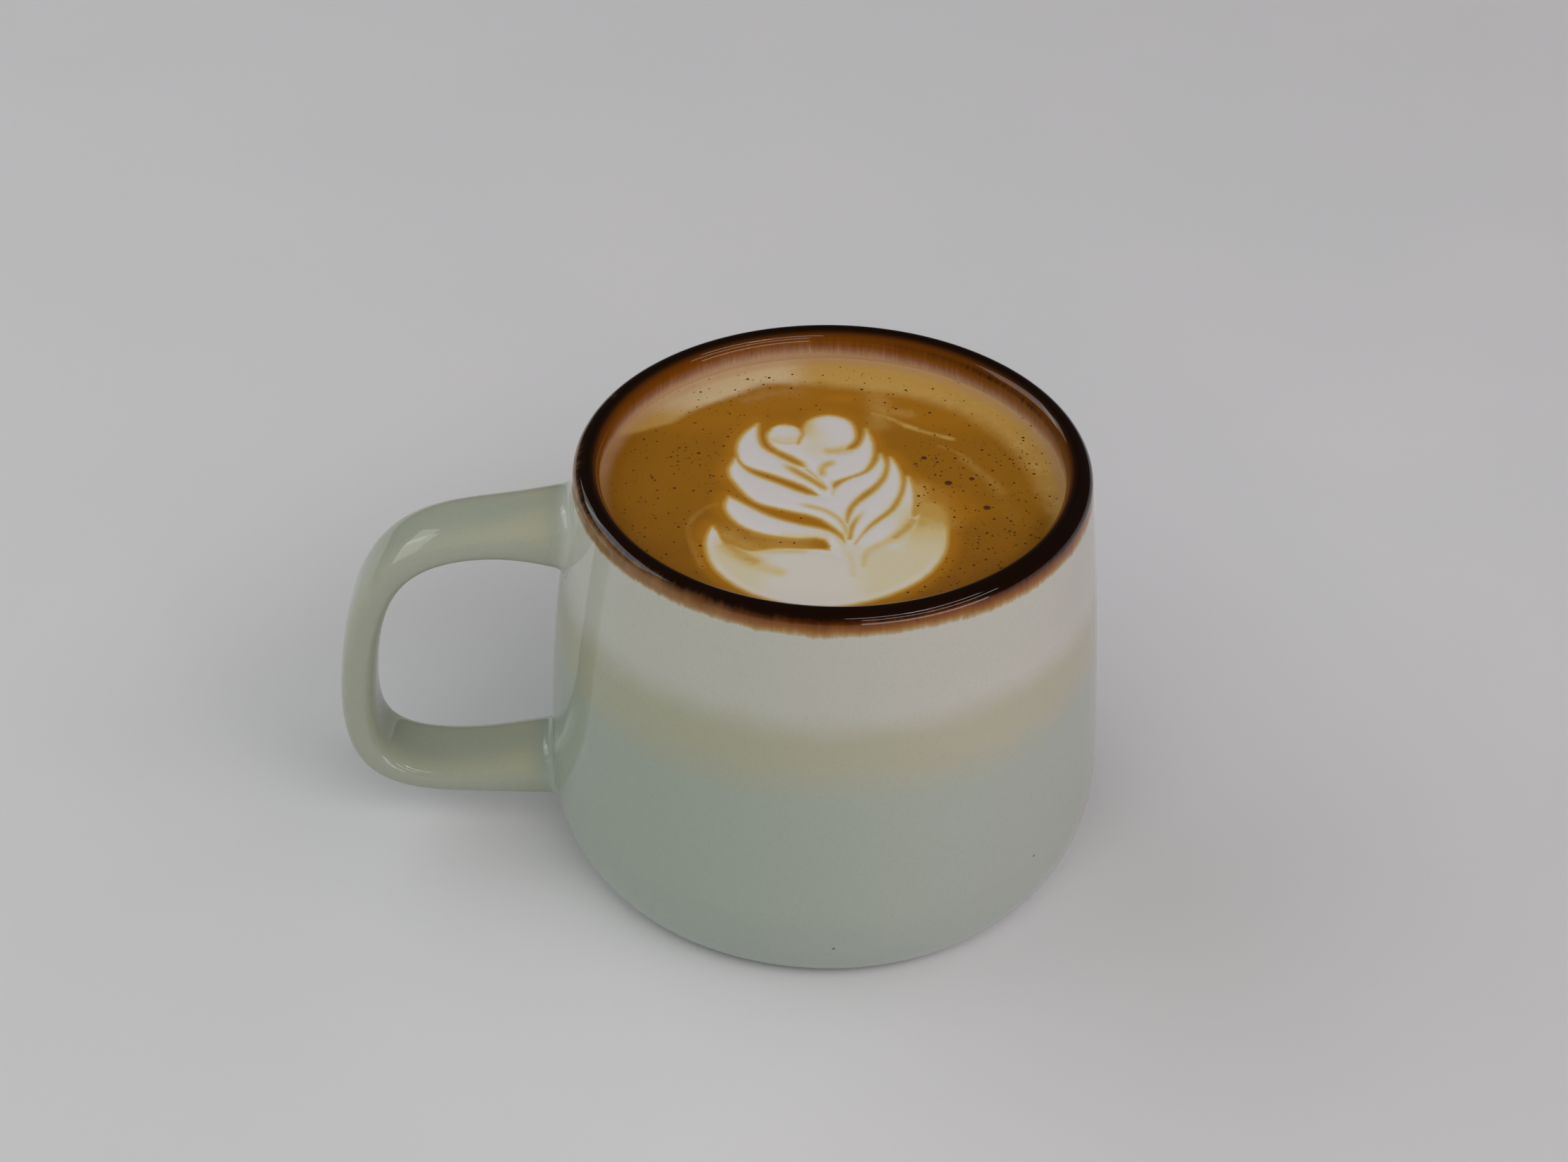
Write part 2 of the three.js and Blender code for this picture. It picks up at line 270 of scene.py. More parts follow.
class Sheet:
    """A material's node tree, with the few nodes that the finishes are written in."""

    MIX_FACTOR = 0
    MIX_FIRST = 6
    MIX_SECOND = 7

    def __init__(self, name: str) -> None:
        """Starts an empty material."""
        self.material = bpy.data.materials.new(name)
        self.material.use_nodes = True
        self.tree = self.material.node_tree
        self.tree.nodes.clear()

    def node(self, kind: str, settings: Optional[dict] = None,
             values: Optional[dict] = None) -> Optional[Wire]:
        """Adds one node: its settings first, then its socket values and links.

        Args:
            kind: Blender's type name of the node.
            settings: property values; "stops" is a ramp's list of position and colour.
            values: a number, tuple or wire for each input, by name or place.

        Returns:
            The wire of the node's first output in use, or None for a node that has no output.
        """
        made = self.tree.nodes.new(kind)
        for name, value in (settings or {}).items():
            if name == "stops":
                self.set_stops(made, value)
            else:
                setattr(made, name, value)
        for place, value in (values or {}).items():
            socket = made.inputs[place]
            if isinstance(value, Wire):
                self.tree.links.new(value.socket, socket)
            elif isinstance(value, tuple) and socket.type == "RGBA":
                socket.default_value = (*value[:3], 1.0)
            elif socket.type == "RGBA":
                socket.default_value = (value, value, value, 1.0)
            elif isinstance(value, (int, float)) and socket.type == "VECTOR":
                socket.default_value = (value, value, value)
            else:
                socket.default_value = value
        in_use = [socket for socket in made.outputs if socket.enabled]
        return Wire(self, in_use[0]) if in_use else None

    @staticmethod
    def set_stops(ramp: bpy.types.Node, stops: Sequence[tuple[float, Colour]]) -> None:
        """Sets a colour ramp's stops.

        Args:
            ramp: the ramp's node.
            stops: position and colour of each stop.
        """
        elements = ramp.color_ramp.elements
        while len(elements) < len(stops):
            elements.new(0.5)
        for element, (position, colour) in zip(elements, stops):
            element.position = position
            element.color = (*colour, 1.0)

    def place(self) -> Wire:
        """The point on the surface in mm, from the mug's axis at the height of its rim."""
        ground = self.node("ShaderNodeTexCoord").output("Object")
        return ground * (1 / MM) - (AXIS_X, 0.0, RIM_HEIGHT)

    def parts(self, vector: Wire) -> tuple[Wire, Wire, Wire]:
        """The three parts of a vector."""
        split = self.node("ShaderNodeSeparateXYZ", None, {0: vector})
        return split.output("X"), split.output("Y"), split.output("Z")

    def vector(self, x: Any, y: Any, z: Any) -> Wire:
        """A vector from its three parts."""
        return self.node("ShaderNodeCombineXYZ", None, {0: x, 1: y, 2: z})

    def reach(self, x: Wire, y: Wire) -> Wire:
        """The distance from the mug's axis."""
        return self.node("ShaderNodeMath", {"operation": "SQRT"}, {0: x * x + y * y})

    def step(self, value: Wire, low: float, high: float) -> Wire:
        """Smooth step from 0 at low to 1 at high.

        Args:
            value: the number that is eased.
            low: value where the step starts.
            high: value where the step ends, above or below low.

        Returns:
            The eased share.
        """
        if low > high:
            return 1.0 - self.step(value, high, low)
        return self.node("ShaderNodeMapRange", {"interpolation_type": "SMOOTHSTEP"},
                         {"Value": value, "From Min": low, "From Max": high})

    def mix(self, first: Any, second: Any, share: Any) -> Wire:
        """First colour at share 0, second colour at share 1."""
        return self.node("ShaderNodeMix", {"data_type": "RGBA"}, {
            self.MIX_FACTOR: share, self.MIX_FIRST: first, self.MIX_SECOND: second})

    def noise(self, vector: Wire, grain: float, detail: float = 2.0, rough: float = 0.5) -> Wire:
        """Soft noise about 0, from -1 to 1.

        Args:
            vector: the place in mm.
            grain: size of its largest grains in mm.
            detail: number of finer layers.
            rough: strength of the finer layers.

        Returns:
            The noise.
        """
        raw = self.node("ShaderNodeTexNoise", None, {
            "Vector": vector, "Scale": 1 / grain, "Detail": detail, "Roughness": rough})
        return (raw - 0.5) * 2.0

    def ramp(self, value: Wire, stops: Sequence[tuple[float, Colour]]) -> Wire:
        """A colour ramp's colour at a value from 0 to 1."""
        return self.node("ShaderNodeValToRGB", {"stops": stops}, {"Fac": value})

    def value_of(self, name: str) -> Wire:
        """The number kept for each vertex under that name."""
        return self.node("ShaderNodeAttribute", {"attribute_name": name}).output("Fac")

    def bump(self, height: Wire, strength: float) -> Wire:
        """The normal bent by a relief in mm, of which the strength is the share that shows."""
        return self.node("ShaderNodeBump", None, {
            "Strength": strength, "Distance": MM, "Height": height})

    def surface(self, **values: Any) -> bpy.types.Material:
        """Finishes the material with one Principled shader.

        Args:
            values: its inputs, named with _ for each space.

        Returns:
            The material.
        """
        inputs = {name.replace("_", " "): value for name, value in values.items()}
        shader = self.node("ShaderNodeBsdfPrincipled", None, inputs)
        self.node("ShaderNodeOutputMaterial", None, {"Surface": shader})
        return self.material


def dress(target: bpy.types.Object, material: bpy.types.Material) -> None:
    """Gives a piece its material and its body.

    Args:
        target: the piece.
        material: its material.
    """
    target.data.materials.clear()
    target.data.materials.append(material)
    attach(target, "root")


@dataclass(frozen=True)
class GlazeFinish:
    """Sage glaze with a near-black lip that breaks to brown, a pale band below it and an olive edge."""

    # Colours from the lip down the outer wall, each with its depth below the rim in mm
    outer: tuple[tuple[float, Colour], ...] = (
        (0.0, (0.0085, 0.0024, 0.0006)),
        (0.6, (0.012, 0.003, 0.0007)),
        (1.0, (0.055, 0.012, 0.0015)),
        (1.4, (0.13, 0.032, 0.002)),
        (2.0, (0.235, 0.066, 0.003)),
        (2.5, (0.3, 0.115, 0.018)),
        (3.0, (0.38, 0.22, 0.085)),
        (3.4, (0.47, 0.36, 0.22)),
        (3.7, (0.55, 0.53, 0.47)),
    )
    # Colours from the lip down to the drink
    inner: tuple[tuple[float, Colour], ...] = (
        (0.0, (0.006, 0.0018, 0.0005)),
        (0.2, (0.02, 0.006, 0.0012)),
        (0.6, (0.115, 0.031, 0.0015)),
        (1.1, (0.19, 0.053, 0.001)),
        (1.7, (0.23, 0.067, 0.003)),
        (2.2, (0.27, 0.093, 0.03)),
        (2.8, (0.33, 0.15, 0.08)),
        (3.4, (0.44, 0.25, 0.145)),
        (4.1, (0.56, 0.35, 0.215)),
        (5.2, (0.57, 0.355, 0.2)),
    )
    ramp_depth: float = 8.0
    # Colours of the lip's patches, the wall's bands, the painted shade on the body's left side and the
    # painted light on its right, the handle, the foot and the specks
    pale_tan: Colour = (0.36, 0.215, 0.105)
    deep_tan: Colour = (0.19, 0.085, 0.026)
    plum: Colour = (0.075, 0.02, 0.012)
    # Painted shade and painted light: factors that darken the body's left side and lighten its right
    # side, as the lights fall
    left_painted_shade: Colour = (0.9, 0.94, 0.9)
    right_painted_light: Colour = (1.12, 1.1, 1.12)
    olive: Colour = (0.455, 0.43, 0.325)
    sage: Colour = (0.4, 0.43, 0.375)
    foot: Colour = (0.42, 0.46, 0.42)
    handle: Colour = (0.385, 0.4, 0.315)
    handle_thin: Colour = (0.45, 0.43, 0.31)
    grain_light: Colour = (0.66, 0.44, 0.29)
    clay: Colour = (0.6, 0.55, 0.47)
    speck: Colour = (0.06, 0.045, 0.03)
    pool: Colour = (0.5, 0.56, 0.49)
    # Depths below the rim where each band starts and where it is full, in mm
    olive_band: Span = (16.5, 24.0)
    sage_band: Span = (26.0, 37.0)
    foot_band: Span = (58.0, 72.0)
    # Compass angle in degrees, depth and radius in mm of each speck
    speck_places: tuple[tuple[float, float, float], ...] = (
        (-90.0, 65.0, 0.35), (-44.0, 57.0, 0.3), (150.0, 40.0, 0.3),
    )
    lip_radius: float = RIM_RADIUS - LIP_TUBE
    rim_radius: float = RIM_RADIUS
    glazed_rough: float = 0.05
    bare_rough: float = 0.65
    ior: float = 1.42

    def stops(self, colours: Sequence[tuple[float, Colour]]) -> list[tuple[float, Colour]]:
        """Ramp stops from depths in mm."""
        return [(depth / self.ramp_depth, colour) for depth, colour in colours]

    def outside(self, sheet: Sheet, around: Wire, place: Wire, depth: Wire) -> Wire:
        """Colour of the outer wall, with painted shade on its left side and painted light on its right.

        Args:
            sheet: the material's sheet.
            around: the place pressed onto a cylinder, in mm.
            place: the place in mm.
            depth: depth below the rim in mm.

        Returns:
            The colour.
        """
        x, _, _ = sheet.parts(around)
        slow = sheet.noise(around, 34.0, 1.0)
        run = sheet.noise(around, 4.5, 2.0)
        feather = sheet.noise(around * (1.0, 1.0, 0.35), 0.9, 4.0, 0.65)
        left = sheet.step(x, -4.0, -38.0)
        right = sheet.step(x, 8.0, 38.0)
        ragged = depth + slow * 0.4 + run * 0.45 + feather * 0.55 + left * 0.1 - right * 0.75
        colour = sheet.ramp(ragged / self.ramp_depth, self.stops(self.outer))
        patch = sheet.noise(around * (1.0, 1.0, 0.5), 5.5, 3.0, 0.6) + feather * 0.4
        band = sheet.step(ragged, 0.7, 1.5) * sheet.step(ragged, 3.3, 2.2)
        colour = sheet.mix(colour, self.plum, sheet.step(patch, 0.0, 0.7) * band * 0.6)
        light = sheet.step(ragged, 0.3, 1.5) * sheet.step(ragged, 3.5, 2.8) * left
        tan = sheet.mix(self.deep_tan, self.pale_tan, sheet.step(patch, 0.5, -0.5))
        colour = sheet.mix(colour, tan, light * 0.75)
        drift = depth + slow * 1.2 + run * 0.5 + sheet.noise(place, 9.0, 2.0) * 1.1
        colour = sheet.mix(colour, self.olive, sheet.step(drift, *self.olive_band))
        colour = sheet.mix(colour, self.sage, sheet.step(drift, *self.sage_band))
        colour = sheet.mix(colour, self.foot, sheet.step(drift, *self.foot_band))
        # Painted shade and painted light: the left side is darkened and the right side lightened, more
        # weakly near the rim
        across = sheet.mix(self.left_painted_shade, self.right_painted_light, sheet.step(x, -34.0, 34.0))
        low = 0.45 + sheet.step(depth, 12.0, 26.0) * 0.55
        return colour * sheet.mix(WHITE, across, low)

    def inside(self, sheet: Sheet, around: Wire, x: Wire, depth: Wire) -> Wire:
        """Colour of the inner wall between the lip and the coffee.

        Args:
            sheet: the material's sheet.
            around: the place pressed onto a cylinder, in mm.
            x: distance to the right of the axis in mm.
            depth: depth below the rim in mm.

        Returns:
            The colour.
        """
        streak = sheet.noise(around * (1.0, 1.0, 0.12), 0.55, 3.0, 0.6)
        patch = sheet.noise(around * (1.0, 1.0, 0.4), 3.5, 2.0)
        grain = sheet.noise(around, 0.3, 2.0)
        lowered = sheet.step(x, -6.0, 30.0) * 1.25 + sheet.step(x, -12.0, -32.0) * 0.35
        blur = sheet.step(depth, 0.6, 1.8)
        ragged = depth + (streak * 0.75 + patch * 0.35 + grain * 0.25 - lowered) * blur
        colour = sheet.ramp(ragged / self.ramp_depth, self.stops(self.inner))
        light = sheet.step(grain * 0.7 + streak * 0.6, 0.15, 0.9) * sheet.step(ragged, 1.8, 3.0)
        return sheet.mix(colour, self.grain_light, light * 0.4)

    def specks(self, sheet: Sheet, around: Wire) -> Wire:
        """Share of the few dark specks in the glaze.

        Args:
            sheet: the material's sheet.
            around: the place pressed onto a cylinder, in mm.

        Returns:
            The share.
        """
        marks = []
        for angle, depth, size in self.speck_places:
            turn = math.radians(angle)
            spot = (self.rim_radius * math.cos(turn), self.rim_radius * math.sin(turn), -depth)
            gap = sheet.node("ShaderNodeVectorMath", {"operation": "DISTANCE"}, {0: around, 1: spot})
            marks.append(sheet.step(gap.output("Value"), size, size * 0.4))
        return reduce(add, marks)

    def build(self) -> bpy.types.Material:
        """Makes the glaze of the whole mug.

        Returns:
            The material.
        """
        sheet = Sheet("glaze")
        place = sheet.place()
        x, y, z = sheet.parts(place)
        depth = 0.0 - z
        reach = sheet.reach(x, y)
        around = sheet.vector(x / reach * self.rim_radius, y / reach * self.rim_radius, z)
        outside = self.outside(sheet, around, place, depth)
        inside = self.inside(sheet, around, x, depth)
        in_hollow = sheet.step(reach, self.lip_radius + 0.05, self.lip_radius - 0.05)
        in_hollow = in_hollow * sheet.step(depth, 40.0, 30.0)
        colour = sheet.mix(outside, inside, in_hollow)
        strap = sheet.mix(self.handle, self.handle_thin, sheet.value_of("edge"))
        mottle = sheet.noise(place, 5.0, 3.0) * 0.5 + 0.5
        strap = sheet.mix(strap, self.sage, mottle * 0.35)
        colour = sheet.mix(colour, strap, sheet.value_of("handle"))
        colour = sheet.mix(colour, self.pool, sheet.value_of("seam") * 0.75)
        colour = sheet.mix(colour, self.clay, sheet.value_of("bare"))
        fine = sheet.noise(place, 0.5, 2.0)
        colour = sheet.mix(colour, colour * 0.93, sheet.step(fine, -0.2, 0.8))
        colour = sheet.mix(colour, self.speck, self.specks(sheet, around) * 0.8)
        wave = sheet.noise(place, 11.0, 1.0) * 0.04 + sheet.noise(place, 0.8, 1.0) * 0.001
        rough = sheet.value_of("bare") * (self.bare_rough - self.glazed_rough) + self.glazed_rough
        return sheet.surface(
            Base_Color=colour,
            Roughness=rough,
            IOR=self.ior,
            Normal=sheet.bump(wave, 1.0),
        )


@dataclass
class Mug:
    """The mug: turned body with a rounded lip and a foot ring, and a looped handle, in mm."""

    height: float = RIM_HEIGHT
    rim_radius: float = RIM_RADIUS
    lip_tube: float = LIP_TUBE
    belly_radius: float = 46.1
    belly_height: float = 16.8
    bulge: float = 0.48
    foot_radius: float = 37.6
    foot_ring: float = 5.6
    foot_recess: float = 1.2
    # Inner side of the foot ring: distance outwards from its inner edge, and share of the recess
    foot_side: tuple[Point, ...] = (
        (-2.0, 1.0), (-1.4, 0.94), (-0.45, 0.22), (0.0, 0.05), (0.45, 0.0),
    )
    # How far the wall stands out on the handle's side, and the depths where that starts and is full
    swell: float = 1.1
    swell_top: float = 5.0
    swell_full: float = 34.0
    wall: float = 4.2
    floor: float = 5.0
    corner_width: float = 14.0
    corner_height: float = 15.0
    around: int = 288
    wall_steps: int = 46
    corner_steps: int = 20
    lip_steps: int = 22
    hollow_steps: int = 20
    # Where the glaze changes: distances out from the wall, the pool in a seam, and the bare foot
    strap_from: Span = (0.3, 3.0)
    edges_from: Span = (1.0, 5.0)
    seam_width: float = 0.7
    seam_depth: float = 0.6
    bare_radius: float = 39.6
    bare_margin: float = 0.6
    bare_height: Span = (0.55, 0.25)
    finish: GlazeFinish = field(default_factory=GlazeFinish)

    def wall_radius(self, height: np.ndarray) -> np.ndarray:
        """Outer radius of the wall, without the swell.

        Args:
            height: heights above the floor, up to the lip.

        Returns:
            The radius at each height.
        """
        height = np.asarray(height, float)
        up = (height - self.belly_height) / (self.height - self.lip_tube - self.belly_height)
        tapered = self.belly_radius + (self.rim_radius - self.belly_radius) * up
        tapered = tapered + self.bulge * 4 * up * (1 - up)
        low = np.clip(1 - height / self.belly_height, 0, 1)
        corner = self.foot_radius + (self.belly_radius - self.foot_radius) * np.sqrt(1 - low ** 2)
        return np.where(height < self.belly_height, corner, tapered)

    def swell_at(self, x: np.ndarray, radius: np.ndarray, height: np.ndarray) -> np.ndarray:
        """How much further the outer wall stands out, which it does on the handle's side.

        Args:
            x: distance to the right of the axis.
            radius: distance from the axis.
            height: height above the floor.

        Returns:
            The extra radius.
        """
        facing = np.maximum(0, -x / np.maximum(radius, 1e-9)) ** 2
        share = smooth_step(self.swell_top, self.swell_full, self.height - height)
        return self.swell * facing * share * smooth_step(0, self.foot_radius, radius)

    def depth_in_wall(self, points: np.ndarray) -> np.ndarray:
        """How far points lie inside the outer wall.

        Args:
            points: points in mm from the axis.

        Returns:
            Their depths, below 0 outside the wall.
        """
        radius = np.hypot(points[..., 0], points[..., 1])
        wall = self.wall_radius(points[..., 2])
        wall = wall + self.swell_at(points[..., 0], radius, points[..., 2])
        return wall - radius

    def inner_radius(self, height: float) -> float:
        """Radius of the hollow above its rounded corner.

        Args:
            height: height above the floor.

        Returns:
            The radius.
        """
        low = self.floor + self.corner_height
        up = (height - low) / (self.height - self.lip_tube - low)
        narrow = self.rim_radius - 2 * self.lip_tube
        wide = self.belly_radius - self.wall
        return wide + (narrow - wide) * up + self.bulge * 4 * up * (1 - up)

    def outer_profile(self) -> list[Point]:
        """The outer profile, from the middle of the foot up to the lip.

        Returns:
            Radius and height of each point.
        """
        inner_ring = self.foot_radius - self.foot_ring
        points = [(0.0, self.foot_recess), (inner_ring * 0.5, self.foot_recess)]
        points += [(inner_ring + out, self.foot_recess * share) for out, share in self.foot_side]
        for index in range(self.corner_steps + 1):
            angle = index / self.corner_steps * math.pi / 2
            spread = (self.belly_radius - self.foot_radius) * math.sin(angle)
            points.append((self.foot_radius + spread, self.belly_height * (1 - math.cos(angle))))
        top = self.height - self.lip_tube
        for height in np.linspace(self.belly_height, top, self.wall_steps + 1)[1:]:
            points.append((float(self.wall_radius(height)), float(height)))
        return points

    def lip_profile(self) -> list[Point]:
        """The rounded lip's profile, from outside to inside.

        Returns:
            Radius and height of each point.
        """
        middle = self.rim_radius - self.lip_tube
        top = self.height - self.lip_tube
        angles = np.linspace(0, math.pi, self.lip_steps + 1)[1:-1]
        return [(middle + self.lip_tube * math.cos(a), top + self.lip_tube * math.sin(a))
                for a in angles]

    def hollow_profile(self) -> list[Point]:
        """The hollow's profile, from the lip down to the middle of its floor.

        Returns:
            Radius and height of each point.
        """
        low = self.floor + self.corner_height
        heights = np.linspace(self.height - self.lip_tube, low, self.hollow_steps + 1)
        points = [(self.inner_radius(height), float(height)) for height in heights]
        foot = self.belly_radius - self.wall - self.corner_width
        for angle in np.linspace(math.pi / 2, 0, self.corner_steps // 2 + 1)[1:]:
            rise = self.corner_height * (1 - math.cos(angle))
            points.append((foot + self.corner_width * math.sin(angle), self.floor + rise))
        return points + [(0.0, self.floor)]

    def body_piece(self) -> bpy.types.Object:
        """Turns the profile round the axis into a closed mesh.

        Returns:
            The mug's body, without its handle.
        """
        outer = self.outer_profile()
        profile = outer + self.lip_profile() + self.hollow_profile()
        rings = np.array(profile[1:-1])
        angles = np.arange(self.around) / self.around * 2 * math.pi
        x = rings[:, 0, None] * np.cos(angles)
        y = rings[:, 0, None] * np.sin(angles)
        z = np.repeat(rings[:, 1, None], self.around, 1)
        radius = np.hypot(x, y)
        grow = 1 + self.swell_at(x, radius, z) / radius
        grow[len(outer) - 1:] = 1.0
        grid = np.stack([x * grow + AXIS_X, y * grow, z], -1).reshape(-1, 3)
        ends = np.array([[AXIS_X, 0, profile[0][1]], [AXIS_X, 0, profile[-1][1]]])
        points = np.vstack([grid, ends]) * MM
        numbers = stacked_rings(len(rings), self.around)
        faces = []
        for lower, upper in zip(numbers, numbers[1:]):
            faces += ring_quads(lower, upper)
        last = (len(rings) - 1) * self.around
        bottom, top = len(grid), len(grid) + 1
        for step in range(self.around):
            after = (step + 1) % self.around
            faces.append((bottom, after, step))
            faces.append((top, last + step, last + after))
        return mesh_object("mug_body", points, faces)

    def build(self) -> bpy.types.Object:
        """Builds the mug as one closed mesh and dresses it.

        Returns:
            The mug.
        """
        body = self.body_piece()
        handle = Handle(self)
        loop = handle.build()
        joined = body.modifiers.new("join", "BOOLEAN")
        joined.operation = "UNION"
        joined.solver = "MANIFOLD"
        joined.object = loop
        bpy.context.view_layer.update()
        graph = bpy.context.evaluated_depsgraph_get()
        mesh = bpy.data.meshes.new_from_object(body.evaluated_get(graph))
        mug = linked("glazed_mug", mesh)
        for spare in (body, loop):
            bpy.data.objects.remove(spare)
        self.mark(mug, handle)
        dress(mug, self.finish.build())
        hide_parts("mug")
        return mug

    def mark(self, mug: bpy.types.Object, handle: "Handle") -> None:
        """Stores where the glaze changes: on the handle, its edges, its seams and the bare foot.

        Args:
            mug: the finished mesh.
            handle: the handle, which knows its seams.
        """
        places = vertices_of(mug) / MM - (AXIS_X, 0, 0)
        radius = np.hypot(places[:, 0], places[:, 1])
        proud = -self.depth_in_wall(places)
        left = places[:, 0] < 0
        store(mug, "handle", smooth_step(*self.strap_from, proud) * left)
        pooled = np.exp(-(handle.seam_distance(places) / self.seam_width) ** 2)
        store(mug, "seam", pooled * left * (proud > -self.seam_depth))
        store(mug, "edge", handle.edge_share(places) * smooth_step(*self.edges_from, proud))
        inner_edge = self.foot_radius - self.foot_ring - self.bare_margin
        ring = (radius > inner_edge) & (radius < self.bare_radius)
        store(mug, "bare", ring * smooth_step(*self.bare_height, places[:, 2]))


@dataclass
class Handle:
    """The looped handle: a strap swept along two curves, with flared ends and small fillets, in mm."""

    mug: Mug
    top_reach: float = 38.5
    top_depth: float = 13.3
    top_rise: float = 0.045
    top_pull: float = 27.3
    grip_reach: float = 78.9
    grip_depth: float = 41.8
    grip_lean: float = 0.1
    grip_pull_up: float = 28.4
    grip_pull_down: float = 21.6
    low_reach: float = 45.0
    low_depth: float = 61.4
    low_rise: float = 0.1
    low_pull: float = 27.5
    thickness: float = 6.0
    width: float = 14.0
    top_thickness: float = 12.0
    top_width: float = 16.4
    low_thickness: float = 8.8
    low_width: float = 15.4
    flare: float = 11.0
    squareness: float = 2.8
    # Each joint: its fillet, how far that spreads along the wall, and how deep its root goes
    fillet: float = 2.3
    fillet_steps: int = 7
    fillet_spread: float = 0.8
    skin: float = 0.04
    root: float = 1.1
    root_spread: float = 0.7
    # The straight end that carries the low joint into the wall
    spur: float = 4.0
    spur_steps: int = 40
    steps: int = 900
    rings: int = 96
    sides: int = 60
    # Places of a seam or the strap lie at least so far left of the axis, and at most so far aside
    seam_reach: float = 30.0
    seam_side: float = 20.0
    strap_reach: float = 40.0
    coarse: int = 8
    thin_glaze: Span = (0.62, 0.95)
    seams: list[np.ndarray] = field(default_factory=list)

    def curve(self) -> tuple[np.ndarray, np.ndarray, np.ndarray]:
        """The handle's middle line.

        Returns:
            Points as reach and height, tangents, and lengths from the top joint, finely spaced.
        """
        top = np.array([-self.top_reach, self.mug.height - self.top_depth])
        grip = np.array([-self.grip_reach, self.mug.height - self.grip_depth])
        low = np.array([-self.low_reach, self.mug.height - self.low_depth])
        outward = np.array([-1.0, self.top_rise])
        down = np.array([-self.grip_lean, -1.0])
        inward = np.array([1.0, self.low_rise])
        outward, down, inward = (v / np.linalg.norm(v) for v in (outward, down, inward))
        halves = [
            (top, top + outward * self.top_pull, grip - down * self.grip_pull_up, grip),
            (grip, grip + down * self.grip_pull_down, low - inward * self.low_pull, low),
        ]
        t = np.linspace(0, 1, self.steps)[:, None]
        parts = [(1 - t) ** 3 * a + 3 * (1 - t) ** 2 * t * b + 3 * (1 - t) * t ** 2 * c + t ** 3 * d
                 for a, b, c, d in halves]
        spur = low + inward * np.linspace(0.02, self.spur, self.spur_steps)[:, None]
        line = np.vstack([parts[0], parts[1][1:], spur])
        steps = np.linalg.norm(np.diff(line, axis=0), axis=1)
        lengths = np.concatenate([[0], np.cumsum(steps)])
        tangents = np.gradient(line, lengths, axis=0)
        tangents /= np.linalg.norm(tangents, axis=1)[:, None]
        return line, tangents, lengths

    def sections(self) -> np.ndarray:
        """The strap's surface, which flares towards both joints.

        Returns:
            For each fine step and each side one point in mm from the axis.
        """
        line, tangents, lengths = self.curve()
        from_top = np.exp(-(lengths / self.flare) ** 2)
        to_low = np.maximum(0, lengths[-1] - self.spur - lengths)
        from_low = np.exp(-(to_low / self.flare) ** 2)
        thick, wide = (
            plain + (top - plain) * from_top + (low - plain) * from_low
            for plain, top, low in (
                (self.thickness, self.top_thickness, self.low_thickness),
                (self.width, self.top_width, self.low_width),
            )
        )
        angles = np.arange(self.sides) / self.sides * 2 * math.pi
        power = 2 / self.squareness
        across = np.sign(np.sin(angles)) * np.abs(np.sin(angles)) ** power
        outward = np.sign(np.cos(angles)) * np.abs(np.cos(angles)) ** power
        normals = np.stack([tangents[:, 1], -tangents[:, 0]], -1)
        flat = line[:, None] + normals[:, None] * (outward * thick[:, None] / 2)[..., None]
        side = across * wide[:, None] / 2
        return np.stack([flat[..., 0], side, flat[..., 1]], -1)

    def wall_point(self, points: np.ndarray, depth: float) -> np.ndarray:
        """Moves points, each at its own height, to a depth below the mug's outer wall.

        Args:
            points: points in mm from the axis.
            depth: the depth in mm.

        Returns:
            The moved points.
        """
        radius = np.hypot(points[..., 0], points[..., 1])
        goal = radius + self.mug.depth_in_wall(points) - depth
        factor = goal / radius
        return np.stack([points[..., 0] * factor, points[..., 1] * factor, points[..., 2]], -1)

    def end_rings(self, surface: np.ndarray, lengths: np.ndarray) -> tuple[np.ndarray, np.ndarray]:
        """The rings of one joint, from the strap to inside the wall.

        Args:
            surface: the strap's surface, with the joint at its start.
            lengths: length along the strap of each of its steps, rising from the joint.

        Returns:
            The rings, and for each side the length where its fillet starts.
        """
        depth = self.mug.depth_in_wall(surface[:len(surface) // 2])
        sides = np.arange(self.sides)
        leaves = np.array([np.flatnonzero(depth[:, side] > 0).max() for side in sides])
        meets = surface[leaves, sides]
        starts = lengths[leaves] + self.fillet
        begin = np.array([[np.interp(starts[side], lengths, surface[:, side, part])
                           for part in range(3)] for side in sides])
        middle = meets.mean(0)
        spread = meets - middle
        spread /= np.linalg.norm(spread, axis=1)[:, None]
        ends = self.wall_point(meets + spread * self.fillet * self.fillet_spread, self.skin)
        control = self.wall_point(meets, 0.0)
        rings = []
        for t in np.linspace(0, 1, self.fillet_steps + 1):
            rings.append((1 - t) ** 2 * begin + 2 * t * (1 - t) * control + t ** 2 * ends)
        rings.append(self.wall_point(meets + spread * self.fillet * self.root_spread, self.root))
        self.seams.append(meets)
        return np.array(rings), starts

    def build(self) -> bpy.types.Object:
        """Builds the strap with both joints as a closed mesh.

        Returns:
            The handle, with its roots inside the mug's wall.
        """
        surface = self.sections()
        lengths = self.curve()[2]
        total = lengths[-1]
        top_rings, top_starts = self.end_rings(surface, lengths)
        low_rings, low_starts = self.end_rings(surface[::-1], total - lengths[::-1])
        share = np.linspace(0, 1, self.rings + 2)[1:-1]
        between = np.empty((self.rings, self.sides, 3))
        for side in range(self.sides):
            along = top_starts[side] + (total - low_starts[side] - top_starts[side]) * share
            for part in range(3):
                between[:, side, part] = np.interp(along, lengths, surface[:, side, part])
        grid = np.concatenate([top_rings[::-1], between, low_rings])
        points = grid.reshape(-1, 3) + (AXIS_X, 0, 0)
        numbers = stacked_rings(len(grid), self.sides)
        faces = []
        for first, second in zip(numbers, numbers[1:]):
            faces += ring_quads(first, second, along=False)
        faces.append(tuple(numbers[0]))
        faces.append(tuple(reversed(numbers[-1])))
        return mesh_object("handle_strap", points * MM, faces)

